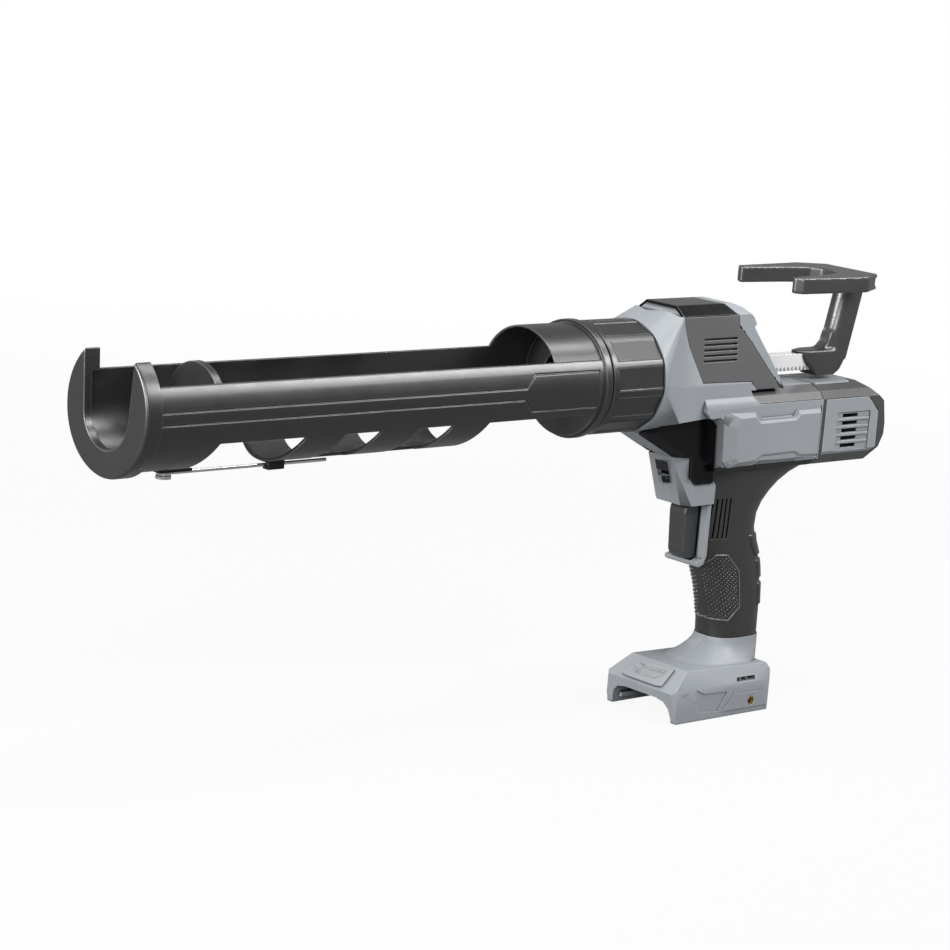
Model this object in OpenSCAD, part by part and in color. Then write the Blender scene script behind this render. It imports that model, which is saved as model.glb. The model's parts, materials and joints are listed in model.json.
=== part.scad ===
// Cordless caulking gun for quart cartridges, with an open carriage that turns.
// X runs forward along the barrel axis, Y to the tool's left side and Z up.
// The origin is on the barrel axis, on the rear face of the carriage's flange.

/* [Carriage] */
// Outer diameter of the carriage tube
tube_d = 74; // [73:0.5:77]
// Wall of the carriage tube
tube_wall = 2.4; // [2:0.1:2.8]
// Length from the flange's rear face to the yoke's front face
carriage_len = 363; // [340:1:375]
// Length of the hoop behind the loading opening
hoop_len = 46; // [38:1:56]
// Height of the side rails' top edge above the axis
rail_top = 17.6; // [15:0.2:20]
// Depth of the side rails' bottom edge below the axis
rail_bottom = 17.2; // [15.5:0.1:18.5]
// Thickness of the flange behind the hoop
flange_t = 5; // [4:0.5:7]
// Length of the tube's closed ring in front of the flange
ring_len = 8.5; // [7:0.5:12]
// Width of each strap under the rails
strap_w = 29.2; // [24:0.2:32]
// Gap between two straps
strap_gap = 28; // [24:0.5:32]
// Rear edge of the rearmost strap
strap_start = 98; // [90:1:104]
// Forward lean of the straps from the rails down to the bottom, degrees
strap_lean = 24; // [10:1:30]
// Length of the closed bottom behind the yoke's front face
closed_len = 57.8; // [52:0.2:62]
// Radius of the hole for the rod in the carriage's rear wall
rod_hole_r = 18.3; // [16:0.1:20]
// Width of the moulded groove lines
groove_w = 1.1; // [0.8:0.1:1.4]

/* [Yoke] */
// Thickness of the yoke plate
yoke_t = 5.6; // [4.5:0.1:7]
// Depth of the yoke's band over the tube
yoke_band = 5.4; // [4:0.2:8]
// Radial thickness of the yoke's band
yoke_rim = 2.6; // [2:0.1:3]
// Radius of the nozzle slot's round bottom
slot_r = 21.6; // [18:0.2:23]
// Height of the prong tips above the axis
prong_top = 31; // [28:0.5:33]

/* [Collar] */
// Length of the locking collar
collar_len = 45; // [42:1:46]
// Number of raised lands round the collar
collar_lands = 12; // [10:1:14]
// Depth of the flutes between the lands
flute_depth = 1; // [0.6:0.1:1.4]

/* [Piercing wire] */
// Diameter of the seal piercing wire
wire_d = 2.2; // [1.8:0.1:2.6]
// Length of the wire behind its pivot
wire_len = 120; // [110:1:124]
// Distance of the wire's pivot behind the yoke's front face
pivot_back = 43; // [40:1:46]

/* [Rod] */
// Tooth module of the rack and its pinion
rack_module = 1.25; // [1.2:0.05:1.3]
// Width of the rack
rack_w = 9; // [7:0.5:10]
// Height of the rack above the tooth tips
rack_h = 11.8; // [11:0.2:12.4]
// Diameter of the plunger disc
plunger_d = 50; // [46:0.5:56]
// Distance of the plunger's front face behind the yoke's front face at rest
plunger_back = 61; // [56:1:66]
// Depth of the plunger's rim
plunger_rim = 5; // [4:0.5:7]

/* [Drive] */
// Teeth on the rack pinion
pinion_teeth = 14; // [13:1:14]
// Teeth on the drive wheel beside the rack pinion
wheel_teeth = 28; // [26:1:28]
// Teeth on the small gear of the crown shaft
small_teeth = 16; // [15:1:17]
// Teeth on the crown gear
crown_teeth = 21; // [20:1:21]
// Teeth on the gearbox's output pinion
output_teeth = 10; // [10:1:11]
// Diameter of the cross shafts
shaft_d = 6; // [5:0.5:6.5]
// Diameter of the motor can
motor_d = 37; // [32:1:38]
// Length of the motor can
motor_len = 54; // [48:1:56]
// Diameter of the gearbox
gearbox_d = 40; // [36:1:42]

/* [Housing] */
// Height of the gear hump's top above the axis
hump_top = 46.8; // [45:0.2:48]
// Half width of the gear hump at its shoulder
hump_half = 22; // [21:0.5:23]
// Half width of the motor housing
motor_half = 30; // [28:0.5:32]
// Depth of the motor housing's top below the axis
motor_top = 11; // [10.6:0.2:12]
// Depth of the motor housing's underside below the axis
motor_under = 67; // [65:0.5:70]
// Length from the origin back to the motor housing's rear end
housing_back = 280; // [276:1:286]
// Half width of the grip
grip_half = 17; // [16:0.25:18]
// Thickness of covers and rubber laid into the housing
skin = 2; // [1.6:0.1:2.4]

/* [Foot] */
// Depth of the foot's base below the axis
foot_base = 235.5; // [230:0.5:240]
// Half width of the foot
foot_half = 33; // [31:0.5:35]
// Distance of the foot's front edge behind the origin
foot_front = 90; // [86:0.5:94]
// Distance of the foot's rear wall behind the origin
foot_rear = 190; // [186:0.5:196]
// Half width of the battery bay
bay_half = 28; // [26:0.5:29]

/* [Trigger] */
// Half width of the trigger
trigger_half = 8; // [7:0.25:8.5]
// Travel of the trigger
trigger_travel = 7; // [5:0.5:8]

/* [Fits] */
// Gap between pieces that move against each other
run_gap = 0.3; // [0.25:0.05:0.4]
// Radial clearance of a shaft in its bearing
fit_gap = 0.05; // [0.03:0.01:0.08]
// Gap round a piece that is laid into another
seat_gap = 0.1; // [0.05:0.05:0.2]

/* [Hidden] */
$fn = 96;
big = 400;
tube_r = tube_d / 2;
tube_in = tube_r - tube_wall;
flange_r = tube_r + 1.5;
hoop_r = tube_r - 0.9;
yoke_r = tube_r + seat_gap + yoke_rim;
tube_end = carriage_len - yoke_t;
spigot_r = tube_in - 0.8;
spigot_wall = 3;
spigot_len = 16;
collar_r = tube_r;
collar_gap = 3;
collar_front_lip = 5;
collar_back = collar_gap + collar_len;
collar_in = spigot_r + run_gap;
neck_r = spigot_r - 1;
neck_front = -spigot_len - 0.5;
guide_t = 13.5;
plunger_r = plunger_d / 2;
plunger_front = carriage_len - plunger_back;
pivot_x = carriage_len - pivot_back;
plate_low = -tube_r - 1.4;
wire_z = plate_low - run_gap - wire_d / 2;
eye_r = 4.3;
eye_h = wire_d - 0.4;
pivot_r = 2.5;
rivet_head = 1.8;
strap_pitch = strap_w + strap_gap;

// Rack and gear centres follow from the modules and tooth counts.
tooth_pitch = PI * rack_module;
rack_tip_z = -4.5;
rack_line_z = rack_tip_z + rack_module;
pinion_r = pinion_teeth * rack_module / 2;
cross_x = -92;
pinion_z = rack_line_z - pinion_r;
wheel_r = wheel_teeth * rack_module / 2;
small_r = small_teeth * rack_module / 2;
motor_z = pinion_z - wheel_r - small_r;
crown_r = crown_teeth * rack_module / 2;
output_r = output_teeth * rack_module / 2;
shaft_r = shaft_d / 2;
wheel_y = 8.2;
wheel_w = 5.4;
crown_face = 4;
crown_plane = -output_r;
bush_w = 2.4;
bush_r = shaft_r + 2.5;
left_bush_y = 14;
right_bush_y = -15.6;
backlash = 0.3;
output_x = cross_x - crown_r - crown_face / 2;
gearbox_front = -124;
gearbox_len = 42;
gearbox_back = gearbox_front - gearbox_len;
output_shaft_r = 4;
motor_front = gearbox_back - 2;
motor_back = motor_front - motor_len;
rotor_shaft_r = 2.5;
fan_x = motor_back - 8;
fan_r = motor_d / 2 - 3;
rear_bearing_x = fan_x - 14;

// Outline values of the housing, seen from the side.
flare_x = -76;
seam_x = -213;
cap_shoulder = 40.4;
slot_count = 5;
seam = 0.35;

plate_half = motor_half + 1.6;
band_low = motor_top + 9;
slot_top = -32.9;
slot_pitch = 5.3;
slot_h = 2.6;
guard_half = 15;
front_half = 11;
nose_half = 17;
cheek_half = nose_half + 1.4;
nose_low = -89.5;
insert_x = -166;
insert_z = 8.5 - foot_base;
insert_r = 3.1;
insert_len = 4.4;
insert_bore_r = 2;
rack_front = plunger_front - plunger_rim;
rack_rear = -246;
teeth_ahead = floor((rack_front - 10 - cross_x) / tooth_pitch);
teeth_behind = floor((cross_x - rack_rear - 6) / tooth_pitch);
stud_r = 3.5;
handle_low = -8.5;
handle_screw_len = 9;
handle_screw_places = [rack_rear + 4.5, rack_rear + 12.5];
handle_half = 8;
screw_floor = 2.2;
fork_low = 53.5;
fork_high = 64.5;

// Extrudes an outline of X and Z points from one side to the other.
module side_prism(points, y0, y1) {
    translate([0, y1, 0]) rotate([90, 0, 0]) linear_extrude(height = y1 - y0) polygon(points);
}

// Extrudes an outline of Y and Z points along the barrel.
module front_prism(points, x0, x1) {
    translate([x0, 0, 0]) rotate([90, 0, 90]) linear_extrude(height = x1 - x0) polygon(points);
}

// Extrudes an outline of X and Y points upwards.
module top_prism(points, z0, z1) {
    translate([0, 0, z0]) linear_extrude(height = z1 - z0) polygon(points);
}

// A round bar along the barrel.
module bar_x(x0, x1, r) {
    translate([x0, 0, 0]) rotate([0, 90, 0]) cylinder(h = x1 - x0, r = r);
}

// A round bar across the tool at a place of the side view.
module bar_y(x, z, y0, y1, r) {
    translate([x, y1, z]) rotate([90, 0, 0]) cylinder(h = y1 - y0, r = r);
}

// A block given by its two corners.
module block(low, high) {
    translate(low) cube(high - low);
}

// Copies its children to the other side of the tool.
module both_sides() {
    children();
    mirror([0, 1, 0]) children();
}

// Draws a zone in along X and one more axis, so that a cover lies in it with an open seam.
module inside(gap, across = [0, 0, 1]) {
    intersection_for(d = [[gap, 0, 0], [-gap, 0, 0], gap * across, -gap * across]) translate(d)
        children();
}

// Mirrors a list of right-hand outline points across the centre line.
function mirrored(half) = concat(half, [for (i = [len(half) - 1 : -1 : 0]) [-half[i][0], half[i][1]]]);

// Closes an outline of X and Y points over the centre line.
function plan_pair(half) = concat(half, [for (i = [len(half) - 1 : -1 : 0]) [half[i][0], -half[i][1]]]);

// A solid skinned over rings of equal length, closed by its two end rings.
module skinned(rings) {
    n = len(rings[0]);
    last = len(rings) - 1;
    points = [for (ring = rings) each ring];
    sides = [for (k = [0 : last - 1]) for (i = [0 : n - 1])
        let (j = (i + 1) % n) each [[k * n + j, k * n + i, (k + 1) * n + j],
            [(k + 1) * n + j, k * n + i, (k + 1) * n + i]]];
    bottom = [[for (i = [0 : n - 1]) i]];
    top = [[for (i = [n - 1 : -1 : 0]) last * n + i]];
    polyhedron(points = points, faces = concat(bottom, sides, top), convexity = 4);
}

// A horizontal ring of a superellipse, from its height, its X span and its half width.
function oval_ring(z, front, rear, half, n = 36, power = 2.6) =
    let (cx = (front + rear) / 2, a = (front - rear) / 2)
    [for (i = [0 : n - 1]) let (t = 360 * i / n, c = cos(t), s = sin(t))
        [cx + a * sign(c) * pow(abs(c), 2 / power), half * sign(s) * pow(abs(s), 2 / power), z]];

// Involute helpers for the gear outlines.
function involute(base, angle) =
    base * [cos(angle) + angle * PI / 180 * sin(angle), sin(angle) - angle * PI / 180 * cos(angle)];
function involute_angle(base, r) = r <= base ? 0 : sqrt(pow(r / base, 2) - 1) * 180 / PI;
function turned(p, a) = [p[0] * cos(a) - p[1] * sin(a), p[0] * sin(a) + p[1] * cos(a)];

// Outline of a spur gear with one tooth centred on the first axis.
function gear_points(teeth, gap) =
    let (r = teeth * rack_module / 2, base = r * cos(20), tip = r + 0.9 * rack_module,
        root = r - 1.2 * rack_module, steps = 4,
        pitch_roll = involute_angle(base, r),
        pitch_turn = atan2(involute(base, pitch_roll)[1], involute(base, pitch_roll)[0]),
        half_tooth = 90 / teeth - gap / 2 / r * 180 / PI,
        start = max(base, root))
    [for (k = [0 : teeth - 1]) let (turn = 360 * k / teeth)
        each concat(
            [turned([root, 0], turn - half_tooth - pitch_turn)],
            [for (s = [0 : steps]) let (rr = start + (tip - start) * s / steps,
                p = involute(base, involute_angle(base, rr)))
                turned(p, turn - half_tooth - pitch_turn)],
            [for (s = [steps : -1 : 0]) let (rr = start + (tip - start) * s / steps,
                p = involute(base, involute_angle(base, rr)))
                turned([p[0], -p[1]], turn + half_tooth + pitch_turn)],
            [turned([root, 0], turn + half_tooth + pitch_turn)])];

// A spur gear across the tool, turned so that a tooth or a gap points up.
module gear_y(x, z, y0, y1, teeth, phase) {
    translate([x, y1, z]) rotate([90, 0, 0]) linear_extrude(height = y1 - y0)
        polygon([for (p = gear_points(teeth, backlash)) turned(p, 90 + phase)]);
}

// Carriage pieces.

// Side outline of a bottom window whose ends lean forward by the strap angle.
function window(rear, front, rear_lean) =
    let (top = -rail_bottom, low = -tube_r - 3, lean = (top - low) * tan(strap_lean))
    [[rear, top], [front, top], [front + lean, low], [rear + (rear_lean ? lean : 0), low]];

// A straight line of groove between two points of the side view, on both rails.
module rail_line(p, q) {
    run = norm(q - p);
    both_sides() translate([p[0], tube_in, p[1]])
        rotate([0, -atan2(q[1] - p[1], q[0] - p[0]), 0])
            translate([-groove_w / 2, -10, -groove_w / 2]) cube([run + groove_w, 20, groove_w]);
}

// Grooves frame a strip that widens to a bare plate beside the hoop, all of one depth.
module rail_grooves() {
    strip = 3.65;
    plate = 11.5;
    plate_back = 10;
    plate_front = 65;
    nose = plate_front + plate - strip;
    difference() {
        union() {
            for (s = [1, -1]) {
                rail_line([nose, s * strip], [tube_end + 2, s * strip]);
                rail_line([nose, s * strip], [plate_front, s * plate]);
                rail_line([plate_back, s * plate], [plate_front, s * plate]);
            }
            rail_line([plate_back, -plate], [plate_back, plate]);
        }
        bar_x(0, carriage_len, tube_r - 0.8);
    }
}

module carriage_frame() {
    window_front = carriage_len - closed_len;
    color("#26272a") difference() {
        union() {
            bar_x(0, hoop_len, hoop_r);
            bar_x(0, flange_t, flange_r);
            bar_x(-spigot_len, flange_t, spigot_r);
            intersection() {
                bar_x(flange_t - 1, tube_end, tube_r);
                block([0, -big, -big], [carriage_len, big, rail_top]);
            }
        }
        // A rear wall with a hole for the rod parts the spigot from the hoop
        bar_x(-spigot_len - 1, flange_t + 1, spigot_r - spigot_wall);
        bar_x(0, ring_len + 1, rod_hole_r);
        bar_x(ring_len, tube_end + 1, tube_in);
        block([hoop_len, -big, rail_top], [carriage_len, big, big]);
        // Windows under the rails leave the straps standing
        side_prism(window(ring_len, strap_start, false), -big, big);
        for (k = [1 : 2]) difference() {
            side_prism(window(strap_start + k * strap_pitch - strap_gap,
                strap_start + k * strap_pitch, true), -big, big);
            block([0, -5, -big], [carriage_len, 5, 0]);
        }
        side_prism(window(strap_start + 2 * strap_pitch + strap_w, window_front, true), -big, big);
        rail_grooves();
    }
}

module front_yoke() {
    bevel = 1.2;
    slot_z = -1.7;
    flare = 0.079;
    slot_top = slot_r + (prong_top + 2 - slot_z) * flare;
    color("#3a3b3e") difference() {
        union() {
            bar_x(tube_end - yoke_band, carriage_len - bevel, yoke_r);
            translate([carriage_len - bevel, 0, 0]) rotate([0, 90, 0])
                cylinder(h = bevel, r1 = yoke_r, r2 = yoke_r - bevel);
        }
        block([0, -big, prong_top], [carriage_len + 1, big, big]);
        bar_x(0, carriage_len + 1, slot_r);
        translate([0, 0, slot_z]) bar_x(0, carriage_len + 1, slot_r);
        front_prism([[-slot_r, slot_z], [slot_r, slot_z], [slot_top, prong_top + 2],
            [-slot_top, prong_top + 2]], 0, carriage_len + 1);
        // Pocket for the tube below the rails' top edges
        intersection() {
            bar_x(0, tube_end, tube_r + seat_gap);
            block([0, -big, -big], [carriage_len, big, rail_top + seat_gap]);
        }
        both_sides() block([tube_end - yoke_band - 1, 24, -30], [tube_end - 1.5, 40, -24.5]);
    }
}

module wire_plate() {
    color("#202124") difference() {
        block([pivot_x - 16, -6, plate_low], [pivot_x + 7, 6, -tube_r + 3]);
        bar_x(0, carriage_len, tube_r);
        translate([pivot_x, 0, plate_low - 1]) cylinder(h = 8, r = pivot_r + fit_gap);
    }
}

module wire_rivet() {
    head_low = wire_z - eye_h / 2 - run_gap - rivet_head;
    color("#9a9c9f") translate([pivot_x, 0, head_low]) {
        cylinder(h = rivet_head, r = eye_r + 0.3);
        cylinder(h = -tube_r - seat_gap - head_low, r = pivot_r);
    }
}

module wire_clip() {
    clip_x = pivot_x - 80;
    gap = wire_d / 2 + run_gap;
    color("#202124") difference() {
        block([clip_x - 6, -4, wire_z - gap - 1.3], [clip_x + 6, gap + 2, -tube_r + 2]);
        bar_x(0, carriage_len, tube_r);
        block([0, -5, wire_z - gap], [carriage_len, gap, wire_z + gap]);
        block([0, -5, -big], [carriage_len, -2, wire_z - gap]);
    }
}

module piercing_wire() {
    color("#b9bbbe") difference() {
        union() {
            translate([pivot_x, 0, wire_z - eye_h / 2]) cylinder(h = eye_h, r = eye_r);
            translate([0, 0, wire_z]) bar_x(pivot_x - wire_len, pivot_x - eye_r + 0.8, wire_d / 2);
        }
        translate([pivot_x, 0, wire_z - wire_d]) cylinder(h = 2 * wire_d, r = pivot_r + fit_gap);
    }
}

module locking_collar() {
    step = 360 / collar_lands;
    flute = collar_r * sin(step * 0.375);
    color("#26272a") difference() {
        bar_x(-collar_back, -collar_gap, collar_r);
        bar_x(-collar_back + 4, 0, collar_in);
        bar_x(-collar_back - 1, 0, neck_r + run_gap);
        // Wide flat flutes leave narrow lands standing
        for (k = [0 : collar_lands - 1]) rotate([(k + 0.25) * step, 0, 0])
            block([-collar_back - 1, -flute, collar_r - flute_depth],
                [-collar_gap - collar_front_lip, flute, collar_r + 5]);
    }
}

// Rod pieces.

module rack_rod() {
    top = rack_tip_z + rack_h;
    root_z = rack_tip_z + 2.25 * rack_module;
    half_tip = tooth_pitch / 4 - rack_module * tan(20) - backlash / 4;
    half_root = tooth_pitch / 4 + 1.25 * rack_module * tan(20) - backlash / 4;
    teeth = [for (k = [-teeth_behind : teeth_ahead - 1])
        let (x = cross_x + (k + 0.5) * tooth_pitch)
        each [[x - half_root, root_z], [x - half_tip, rack_tip_z],
            [x + half_tip, rack_tip_z], [x + half_root, root_z]]];
    color("#c4c6c8") {
        difference() {
            side_prism(concat([[rack_rear, top], [rack_rear, root_z]], teeth,
                [[rack_front, root_z], [rack_front, top]]), -rack_w / 2, rack_w / 2);
            for (x = handle_screw_places) translate([x, 0, rack_tip_z - 1])
                cylinder(h = handle_screw_len, r = 2 + fit_gap);
        }
        bar_x(rack_front - 1, plunger_front + 6, stud_r);
    }
}

module plunger_disc() {
    face = 2.4;
    color("#37383b") difference() {
        bar_x(rack_front, plunger_front, plunger_r);
        difference() {
            bar_x(rack_front - 1, plunger_front - face, plunger_r - 2.6);
            bar_x(rack_front - 2, plunger_front, 9);
        }
        bar_x(rack_front - 1, plunger_front + 1, stud_r + fit_gap);
    }
}

module plunger_nut() {
    color("#b9bbbe") difference() {
        translate([plunger_front, 0, 0]) rotate([0, 90, 0]) cylinder(h = 4.5, r = 6.4, $fn = 6);
        bar_x(plunger_front - 1, plunger_front + 6, stud_r + fit_gap);
    }
}

// The post is round in front and flat behind, and leans back to the fork.
module handle_post() {
    lean = 13;
    depth = 10.5;
    round_front = [for (a = [-90 : 15 : 90]) handle_half * [cos(a), sin(a)]];
    intersection() {
        translate([-249.7, 0, 15]) rotate([0, -lean, 0]) translate([0, 0, -20])
            linear_extrude(height = 70)
                polygon(concat([[-depth, -handle_half]], round_front, [[-depth, handle_half]]));
        block([-300, -big, 2], [-200, big, fork_low]);
    }
}

// The socket under the post holds the rod's rear end and narrows towards the front.
module pull_handle() {
    rod_top = rack_tip_z + rack_h + seat_gap;
    socket_top = rod_top + 2;
    socket_side = [[-210.5, socket_top], [-212, 6.5], [-228, handle_low], [-246.5, handle_low],
        [-252, -5], [-255.5, 1], [-256.5, socket_top]];
    socket_plan = plan_pair([[-209, 2.5], [-217.3, 6], [-223, handle_half], [-300, handle_half]]);
    corner = [[-232, socket_top - 1], [-236.5, 10.5], [-241, 15], [-243, 22], [-248, 22],
        [-248, socket_top - 1]];
    color("#2c2d30") difference() {
        union() {
            intersection() {
                side_prism(socket_side, -big, big);
                top_prism(socket_plan, -20, 20);
            }
            handle_post();
            side_prism(corner, -5, 5);
        }
        block([rack_rear - seat_gap, -rack_w / 2 - seat_gap, rack_tip_z - seat_gap],
            [-200, rack_w / 2 + seat_gap, rod_top]);
        for (x = handle_screw_places) translate([x, 0, handle_low]) {
            translate([0, 0, -1]) cylinder(h = screw_floor + 1, r = 3.5);
            cylinder(h = 8, r = 2 + fit_gap);
        }
    }
}

module handle_fork() {
    outer = [[-176, 26], [-180, 31], [-242, 34], [-262, 24]];
    inner = [[-238, 6], [-233, 13], [-215, 18], [-176, 23]];
    plan = concat(plan_pair(outer), [for (i = [len(inner) - 1 : -1 : 0]) [inner[i][0], -inner[i][1]]],
        inner);
    color("#2c2d30") difference() {
        top_prism(plan, fork_low, fork_high);
        // The rear edge is an open channel between two flanges
        both_sides() block([-266, -0.1, fork_low + 3], [-258.5, 40, fork_high - 3]);
    }
}

module handle_screws() {
    color("#8d8f92") for (x = handle_screw_places) translate([x, 0, handle_low]) {
        cylinder(h = screw_floor, r = 3.3);
        cylinder(h = handle_screw_len + rack_tip_z - 1.2 - handle_low, r = 2);
    }
}

// Housing forms. Each takes an inset, so that covers and cores share one form.

function hump_section(inset) = mirrored([[14 - inset * 0.5, hump_top - inset],
    [hump_half - inset, cap_shoulder - inset * 0.5], [hump_half + 4 - inset, -6],
    [hump_half + 4 - inset, -30]]);

function motor_section(inset) = mirrored([[16 - inset * 0.4, -motor_top - inset],
    [motor_half - 4 - inset, -motor_top - 4 - inset * 0.7], [motor_half - inset, -band_low],
    [motor_half - inset, -motor_under + 10], [motor_half - 8 - inset * 0.8, -motor_under + inset]]);

hump_side = [[flare_x, -30], [flare_x, hump_top + 1], [-126, hump_top + 1], [-136, 44.5],
    [-143.5, 38], [-146, 33.5], [-144, 31.5], [-148, 26], [-162, 8], [-178, -14], [-178, -30]];
motor_side = [[-98, -23], [-100, -motor_top + 1], [seam_x, -motor_top + 1],
    [seam_x, -motor_under - 1], [-118, -motor_under - 1], [-107, -57], [-107, -31]];
cap_side = [[seam_x - 0.05, -motor_top + 1], [-258, -motor_top + 1], [-277, -24],
    [-housing_back, -40], [-housing_back, -48], [-270, -motor_under - 1],
    [seam_x - 0.05, -motor_under - 1]];
cover_side = [[-75, 44], [-78.7, 29.9], [-81.9, 20.4], [-96, -4], [-143, -5], [-148.5, -11],
    [-173, -11], [-157, 5], [-142, 21.5], [-130, 32.2], [-127.7, 44]];
cap_plan = plan_pair([[-62, 0], [-66, 12], [-75, 23], [-75, 40], [-128, 40], [-128, 22], [-121, 13],
    [-120, 0]]);

module hump(inset) {
    intersection() {
        front_prism(hump_section(inset), -200, flare_x);
        side_prism(hump_side, -big, big);
    }
}

// The housing flares from a round seat behind the collar to the hump's section.
module flare() {
    hull() {
        bar_x(-collar_back - 2.5, -collar_back - 0.5, 37.8, $fn = 40);
        front_prism(hump_section(0), flare_x - 1, flare_x);
    }
}

module motor_body(inset) {
    intersection() {
        front_prism(motor_section(inset), seam_x, -90);
        side_prism(motor_side, -big, big);
    }
}

// A raised plate with bevelled ends on each side of the motor housing.
module side_plates() {
    outline = [[-112.2, -55.4], [-112.2, -30.3], [-117.6, -24.2], [-145.3, -24.2], [-150.6, -29.5],
        [-182.6, -29.5], [-186.4, -24.2], [seam_x, -24.2], [seam_x, -61.4], [-189.4, -61.4],
        [-185.6, -59], [-151.5, -58], [-147, -61.4], [-119.6, -61.4]];
    section = [[motor_half - 1, -24.2], [motor_half, -24.2], [plate_half, -27.6], [plate_half, -58.5],
        [motor_half, -61.4], [motor_half - 1, -61.4]];
    plan = [[-111, motor_half - 1], [-112.2, motor_half], [-124.7, plate_half], [-205, plate_half],
        [seam_x, motor_half], [seam_x, motor_half - 1]];
    both_sides() intersection() {
        side_prism(outline, 0, big);
        front_prism(section, seam_x, 0);
        top_prism(plan, -big, 0);
    }
}

module cap_body(inset) {
    intersection() {
        front_prism(motor_section(inset), -housing_back - 1, seam_x - 0.05);
        side_prism(cap_side, -big, big);
    }
}

// Side outline of the dark recess over the trigger, and of the flat cheek behind its slanted front.
throat_side = [[-54, -38.5], [-58, -35], [-64, -30.5], [-112, -26.9], [-121, -35], [-123.5, -75],
    [-107, -75], [-100.5, -70], [-99.5, -56], [-88, -56]];
cheek_side = [[-64, -30], [-112, -26], [-122, -35], [-124, -76], [-107, -76], [-100, -70], [-98, -57.5],
    [-98, -56], [-64, -37]];

// Wedge from the collar down to the slide button, with slanted sides in front.
module nose_wedge(inset) {
    hull() {
        side_prism([[-51, -24], [-51, -36.5], [-88.5, -56], [-90, -24]], inset - front_half,
            front_half - inset);
        side_prism([[-64, -24], [-64, -37], [-98, -56], [-104, -24]], inset - cheek_half,
            cheek_half - inset);
    }
}

module throat_form(inset) {
    nose_wedge(inset);
    side_prism(cheek_side, inset - cheek_half, cheek_half - inset);
}

module throat_zone() {
    side_prism(throat_side, front_half + seam, big);
}

module nose() {
    nose_wedge(skin + seat_gap);
    side_prism([[-51, -24], [-51, -36.5], [-88.5, -56], [-90, -24]], -front_half, front_half);
    hull() {
        side_prism([[-88.5, -55], [-88.5, -56], [-101, nose_low], [-104, nose_low], [-95, -50]],
            -front_half, front_half);
        side_prism([[-99.5, -56], [-106, nose_low], [-127.5, nose_low], [-127.5, -76.5], [-107, -75.5],
            [-103, -50]], -nose_half, nose_half);
    }
}

module guard() {
    side_prism([[-114, -84], [-127.5, -76.5], [-127.5, -126], [-125, -131.5], [-120.5, -133.2],
        [-118.3, -131.8], [-118.3, -129.6], [-124.5, -128], [-124.5, nose_low], [-114, nose_low]],
        -guard_half, guard_half);
}

// Grip sections at the motor housing: height, front, rear, added half width.
grip_head = [[-64, -113, -236, 4], [-68, -114, -226, 3.5], [-73, -115, -212, 2.5],
    [-79, -117, -201, 1.5], [-85, -119, -193, 1], [-92, -121, -186, 0.5], [-100, -122.5, -181.5, 0.2]];

// Sections from the palm to the neck, with the share of the way down in place of the height.
grip_palm = [[0, -124, -180.5, 0], [0.127, -127, -183, 0], [0.24, -131, -187, 0.1],
    [0.367, -136, -189.5, 0.2], [0.519, -141, -191.3, 0.2], [0.684, -145, -192.3, 0.1],
    [0.848, -147.5, -192.5, 0], [1, -148.5, -192.7, 0]];
foot_top = foot_base - 34;
palm_top = 110;
palm_low = foot_top - 12.5;
grip_rings = concat(grip_head, [for (r = grip_palm)
    [-palm_top - r[0] * (palm_low - palm_top), r[1], r[2], r[3]]]);

// The grip's shape, drawn in by an inset for the core under the rubber.
module grip_form(inset) {
    skinned([for (i = [len(grip_rings) - 1 : -1 : 0]) let (r = grip_rings[i])
        oval_ring(r[0], r[1] - inset, r[2] + inset, grip_half + r[3] - inset)]);
}

// Neck that spreads from the grip to the foot, by height above the foot's top.
neck_rings = [[-3, -112, -189.5, 9], [0, -125, -191, 6.5], [3.5, -135, -192, 4],
    [7.5, -142, -193, 2], [11, -146.5, -193.3, 1], [15, -148, -193.5, 0.6]];
neck_high = neck_rings[len(neck_rings) - 1][0] - foot_top;

module neck() {
    skinned([for (r = neck_rings) oval_ring(r[0] - foot_top, r[1], r[2], r[3] + grip_half)]);
}

// The foot is the overlap of its side, front and top outlines.
module foot_form() {
    side = [[-foot_front - 4.5, -foot_base], [-foot_front, -foot_base + 21], [-foot_front - 18, -foot_top],
        [-foot_rear + 5, -foot_top - 2], [-foot_rear - 1, -foot_top - 13], [-foot_rear, -foot_base]];
    front = mirrored([[foot_half - 8, -foot_top + 1], [foot_half - 6.5, -foot_top],
        [foot_half, -foot_top - 13], [foot_half, -foot_base]]);
    plan = plan_pair([[-foot_front + 1, foot_half - 4], [-foot_front - 3, foot_half],
        [-foot_rear + 6, foot_half], [-foot_rear - 2, foot_half - 8]]);
    intersection() {
        side_prism(side, -big, big);
        front_prism(front, -big, big);
        top_prism(plan, -big, 0);
    }
}

arch_high = 15 - foot_base;

// Shallow bare field and barred air slot in the foot's side wall.
module foot_relief() {
    relief = 0.5;
    field = [[-97.8, 19.1], [-109.5, 23.2], [-119.6, 18.1], [-142.3, 17.5], [-133.9, 4.8], [-116, 5.8],
        [-113.4, 11.7], [-109.1, 13.1]];
    translate([0, 0, -foot_base]) {
        side_prism(field, foot_half - relief, big);
        difference() {
            side_prism([[-151.8, 22.4], [-153.1, 25.4], [-171, 25.4], [-170.6, 22.4]], 21, big);
            for (x = [-157.5, -163.7]) block([x - 0.7, 0, 20], [x + 0.7, foot_half - 3, 28]);
        }
    }
}

// Raised plate beside the brass insert.
module foot_plate() {
    outline = [[-138.9, 3.8], [-149.6, 16.6], [-154.7, 14.8], [-175.4, 14.8], [-183.4, 3.8]];
    translate([0, 0, -foot_base]) side_prism(outline, foot_half - 1, foot_half + 0.6);
}

// Zones where covers, rubber and panels are laid into the housing.

module cover_zone() {
    intersection() {
        side_prism(cover_side, 14, big);
        block([-big, 0, -big], [0, big, cap_shoulder]);
    }
}

module cap_zone() {
    top_prism(cap_plan, cap_shoulder, hump_top + 5);
}

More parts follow.
